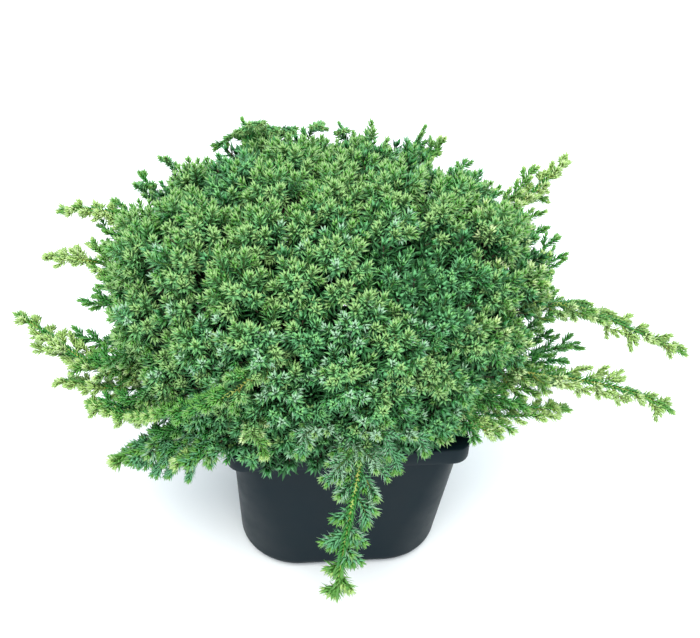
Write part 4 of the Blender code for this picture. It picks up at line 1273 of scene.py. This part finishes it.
def needles_on(paths, clad, tones, limbs, gap, size, low_lean):
    """Needles in whorls back from the tip of each path: corner points, kinds and limbs."""
    count = int(np.max(clad) / gap) + 3
    whorl = np.arange(count)
    back = gap * (whorl - TIP_CROWDED * (1.0 - np.exp(-whorl / CROWDED_OVER))) + LAST_WHORL
    back = np.repeat(back[None], len(paths), axis=0)
    points, ways = on_paths(paths, back)
    across, beside = side_frame(ways)
    shape = (len(paths), count, 3)
    clad, size, tones = (np.broadcast_to(value, len(paths)) for value in (clad, size, tones))
    turn = (needle_rng.uniform(0, math.tau, (len(paths), 1, 1)) + whorl[None, :, None] * math.pi / 3
            + np.arange(3)[None, None] * math.tau / 3 + needle_rng.normal(0, NEEDLE_TURN, shape))
    near_tip = np.exp(-back / LEAN_OVER)[..., None]
    lean = low_lean - (low_lean - TIP_LEAN) * near_tip + needle_rng.normal(0, NEEDLE_STRAY, shape)
    shorter = TIP_SHORTER * np.exp(-back / SHORTER_OVER)[..., None]
    length = NEEDLE_LENGTH * size[:, None, None] * (1.0 - shorter)
    length = length * needle_rng.uniform(*NEEDLE_LENGTHS, shape)
    shown = np.broadcast_to((back <= clad[:, None])[..., None], shape)
    out = rotated(across[:, :, None], beside[:, :, None], turn[..., None])
    way = np.broadcast_to(ways[:, :, None], out.shape)[shown]
    foot = np.broadcast_to(points[:, :, None], out.shape)[shown]
    out, lean, length = out[shown], np.radians(lean)[shown][:, None], length[shown][:, None]
    along = rotated(way, out, lean)
    upper = rotated(-out, way, lean)
    wide = np.cross(along, upper)
    twist = needle_rng.normal(0, NEEDLE_TWIST, (len(along), 1))
    wide, upper = rotated(wide, upper, twist), rotated(upper, -wide, twist)
    row = np.broadcast_to(np.arange(len(paths))[:, None, None], shape)[shown]
    breadth = size[row][:, None]
    half = wide * NEEDLE_WIDTH * breadth / 2
    middle = foot + along * length * NEEDLE_WIDEST + upper * NEEDLE_KEEL * breadth
    tips = foot + along * length + upper * length * NEEDLE_CURL
    corners = np.stack([foot, middle + half, middle - half, tips], axis=1)
    distance = np.broadcast_to(back[..., None], shape)[shown]
    kind = (distance[:, None] > TONES[tones[row]]).sum(axis=1)
    return corners, kind, limbs[row]


def limb_of(paths):
    return np.array([owner(Vector(path[-1]) - FORK) for path in paths])


def rising(values, start, width):
    """0 up to a start, 1 from a width past it, and even in between."""
    return np.clip((values - start) / width, 0, 1)


def crown_tones():
    """The tone of each branchlet of the crown, by its place and by chance, with painted shade in hollows and
    on the low front, and painted light on bulges and, with yellower growth, to the right and back.
    """
    x, y, z = branchlets[:, -1].T
    # Warm sprays grow more towards the right and back: partly yellower growth, partly painted light.
    flank = rising(x, *FLANK)
    warm = WARM_LEAST + WARM_MORE * np.maximum(rising(y, *REAR), flank)
    # Painted shade: clumps that stand back lose warm sprays; painted light: raised clumps gain them.
    warm = warm + crown_rng.normal(0, WARM_STRAY, all_clumps)[clump_of] - SUNK_COOLS * sunk[clump_of]
    draw = crown_rng.random(len(branchlets))
    tones = np.where(draw < warm, SUNNY, np.where(draw < warm + PLAIN_SHARE, PLAIN, COOL))
    # Painted shade: part of the sprays of deep-set clumps get the shaded tone.
    tones = np.where((sunk[clump_of] > HOLLOW) & (draw > warm + SHADED_MARGIN), SHADED, tones)
    # Partly painted light: the right flank gets lighter, younger-looking sprays.
    tones = np.where(draw < FLANK_YOUNG_AND_LIT * flank, MIDDLE, tones)
    ways = unit(branchlets[:, -1] - np.array(FORK))
    young = sum(nearness(ways, *patch) for patch in YOUNG_PATCHES)
    tones = np.where(crown_rng.random(len(branchlets)) < PATCH_YOUNG * young, FRESH, tones)
    # Painted shade: the crown's low front gets shaded, darker sprays.
    skirt = rising(-z, *SKIRT) * rising(-y, *FRONT)
    return np.where(crown_rng.random(len(branchlets)) < SKIRT_SHADED * skirt, SHADED, tones)


def shoot_tones():
    """The tone of each side branchlet of the leading shoots, younger towards the tip."""
    tones = np.where(long_shares > YOUNG_FROM, YOUNG, np.where(long_shares > MIDDLE_FROM, MIDDLE, FRESH))
    youngest = [shoot[0] for shoot in SHOOTS].index(YOUNGEST)
    tones = np.where((long_row == youngest) & (long_shares > YOUNGEST_FROM), YOUNG, tones)
    tones = np.where(hangs[long_row], np.where(long_shares > HANGING_FROM, MIDDLE, HANGING), tones)
    is_runner = long_row == len(SHOOTS)
    return np.where(is_runner, np.where(long_shares > RUNNER_FROM, MIDDLE, FRESH), tones)


tones = crown_tones()
branchlet_limbs = clump_limbs[clump_of]
hangs = long_stems[:, -1, 2] < POT_TOP
long_tones = shoot_tones()
long_limbs = limb_of(long_stems[:, :1])
needle_sizes = np.where(hangs, HANGING_SIZE, LONG_SIZE)
tip_places, tip_lengths, tip_turns = np.array(LONG_TIPS).T[:, None]
long_tip_sizes = long_sizes[:, None] * tip_lengths + 0.001
long_tips = side_branchlets(
    long_sides, long_sizes[:, None] * tip_places, long_tip_sizes, LONG_TIP_LEAN,
    shoot_rng.uniform(0, math.tau, (len(long_sides), 1)) + tip_turns)
tip_row = np.repeat(long_row, len(LONG_TIPS))
small_limbs = limb_of(small_stems)
clad_gap, clad_lean = CLAD_HABIT
long_gap, long_lean = LONG_HABIT
needle_corners, needle_kinds, needle_limbs = gathered([
    needles_on(branchlets, crown_rng.uniform(*CROWN_CLAD, len(branchlets)), tones, branchlet_limbs,
               *CROWN_HABIT),
    needles_on(sides, side_lengths.reshape(-1) * SIDE_CLAD, np.repeat(tones, SIDE_COUNT),
               np.repeat(branchlet_limbs, SIDE_COUNT), *CROWN_HABIT),
    # The inner branchlets' needles are dark partly from age and partly as painted shade.
    needles_on(inner_branchlets, INNER_CLAD, OLD_AND_SHADED, limb_of(inner_branchlets), *INNER_HABIT),
    needles_on(long_clad, long_lengths * STEM_CLAD, MIDDLE, long_limbs, clad_gap, needle_sizes, clad_lean),
    needles_on(long_sides, long_sizes * TWIG_CLAD, long_tones, long_limbs[long_row],
               long_gap, needle_sizes[long_row], long_lean),
    needles_on(long_tips, long_tip_sizes.reshape(-1) * TWIG_CLAD, np.repeat(long_tones, len(LONG_TIPS)),
               long_limbs[tip_row], long_gap, needle_sizes[tip_row], long_lean),
    needles_on(small_stems, SPRIG_CLAD, small_tone, small_limbs, *SPRIG_HABIT),
    needles_on(small_sides, small_sizes * TWIG_CLAD, small_tone[small_row], small_limbs[small_row],
               *SPRIG_HABIT),
])


# Juniper needles: waxy, so they have a soft broad shine. A pale bloom dulls the upper face.
def needle_finish(name, colour, roughness):
    material, shader = new_material(name, colour, roughness)
    wax = noise_on(material, WAX_GRAIN_MM, Detail=2.0)
    worn = add_node(material, "ShaderNodeMapRange", {}, {
        "Value": wax.outputs["Fac"],
        "To Min": roughness - ROUGHNESS_STRAY, "To Max": roughness + ROUGHNESS_STRAY})
    join_sockets(material, worn.outputs["Result"], shader.inputs["Roughness"])
    return material


def limb_groups(kind):
    """Limbs in groups whose needles of one kind fit in one piece."""
    groups, held = [[]], 0
    for limb in range(len(LIMBS)):
        size = ((needle_kinds == kind) & (needle_limbs == limb)).sum()
        if held + size > PIECE_NEEDLES:
            groups.append([])
            held = 0
        groups[-1].append(limb)
        held += size
    return groups


for kind, word in enumerate(KINDS):
    upper, back = NEEDLE_COLOURS[kind]
    finishes = [needle_finish(f"{word}_needle_bloom", upper, BLOOM_ROUGHNESS),
                needle_finish(f"{word}_needle_wax", back, WAX_ROUGHNESS)]
    for number, group in enumerate(limb_groups(kind)):
        needles = needle_corners[(needle_kinds == kind) & np.isin(needle_limbs, group)]
        spray = joined_mesh(f"needles_{word}_{number}", needles.reshape(-1, 3),
                            repeated(NEEDLE_FACES, len(needles), len(NEEDLE_FACES)),
                            finishes, np.tile(NEEDLE_SHADES, len(needles)))
        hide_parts(*(MASSES[limb] for limb in group))
        "young_foliage" if word in YOUNG_KINDS else "foliage"
        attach(spray, "root")
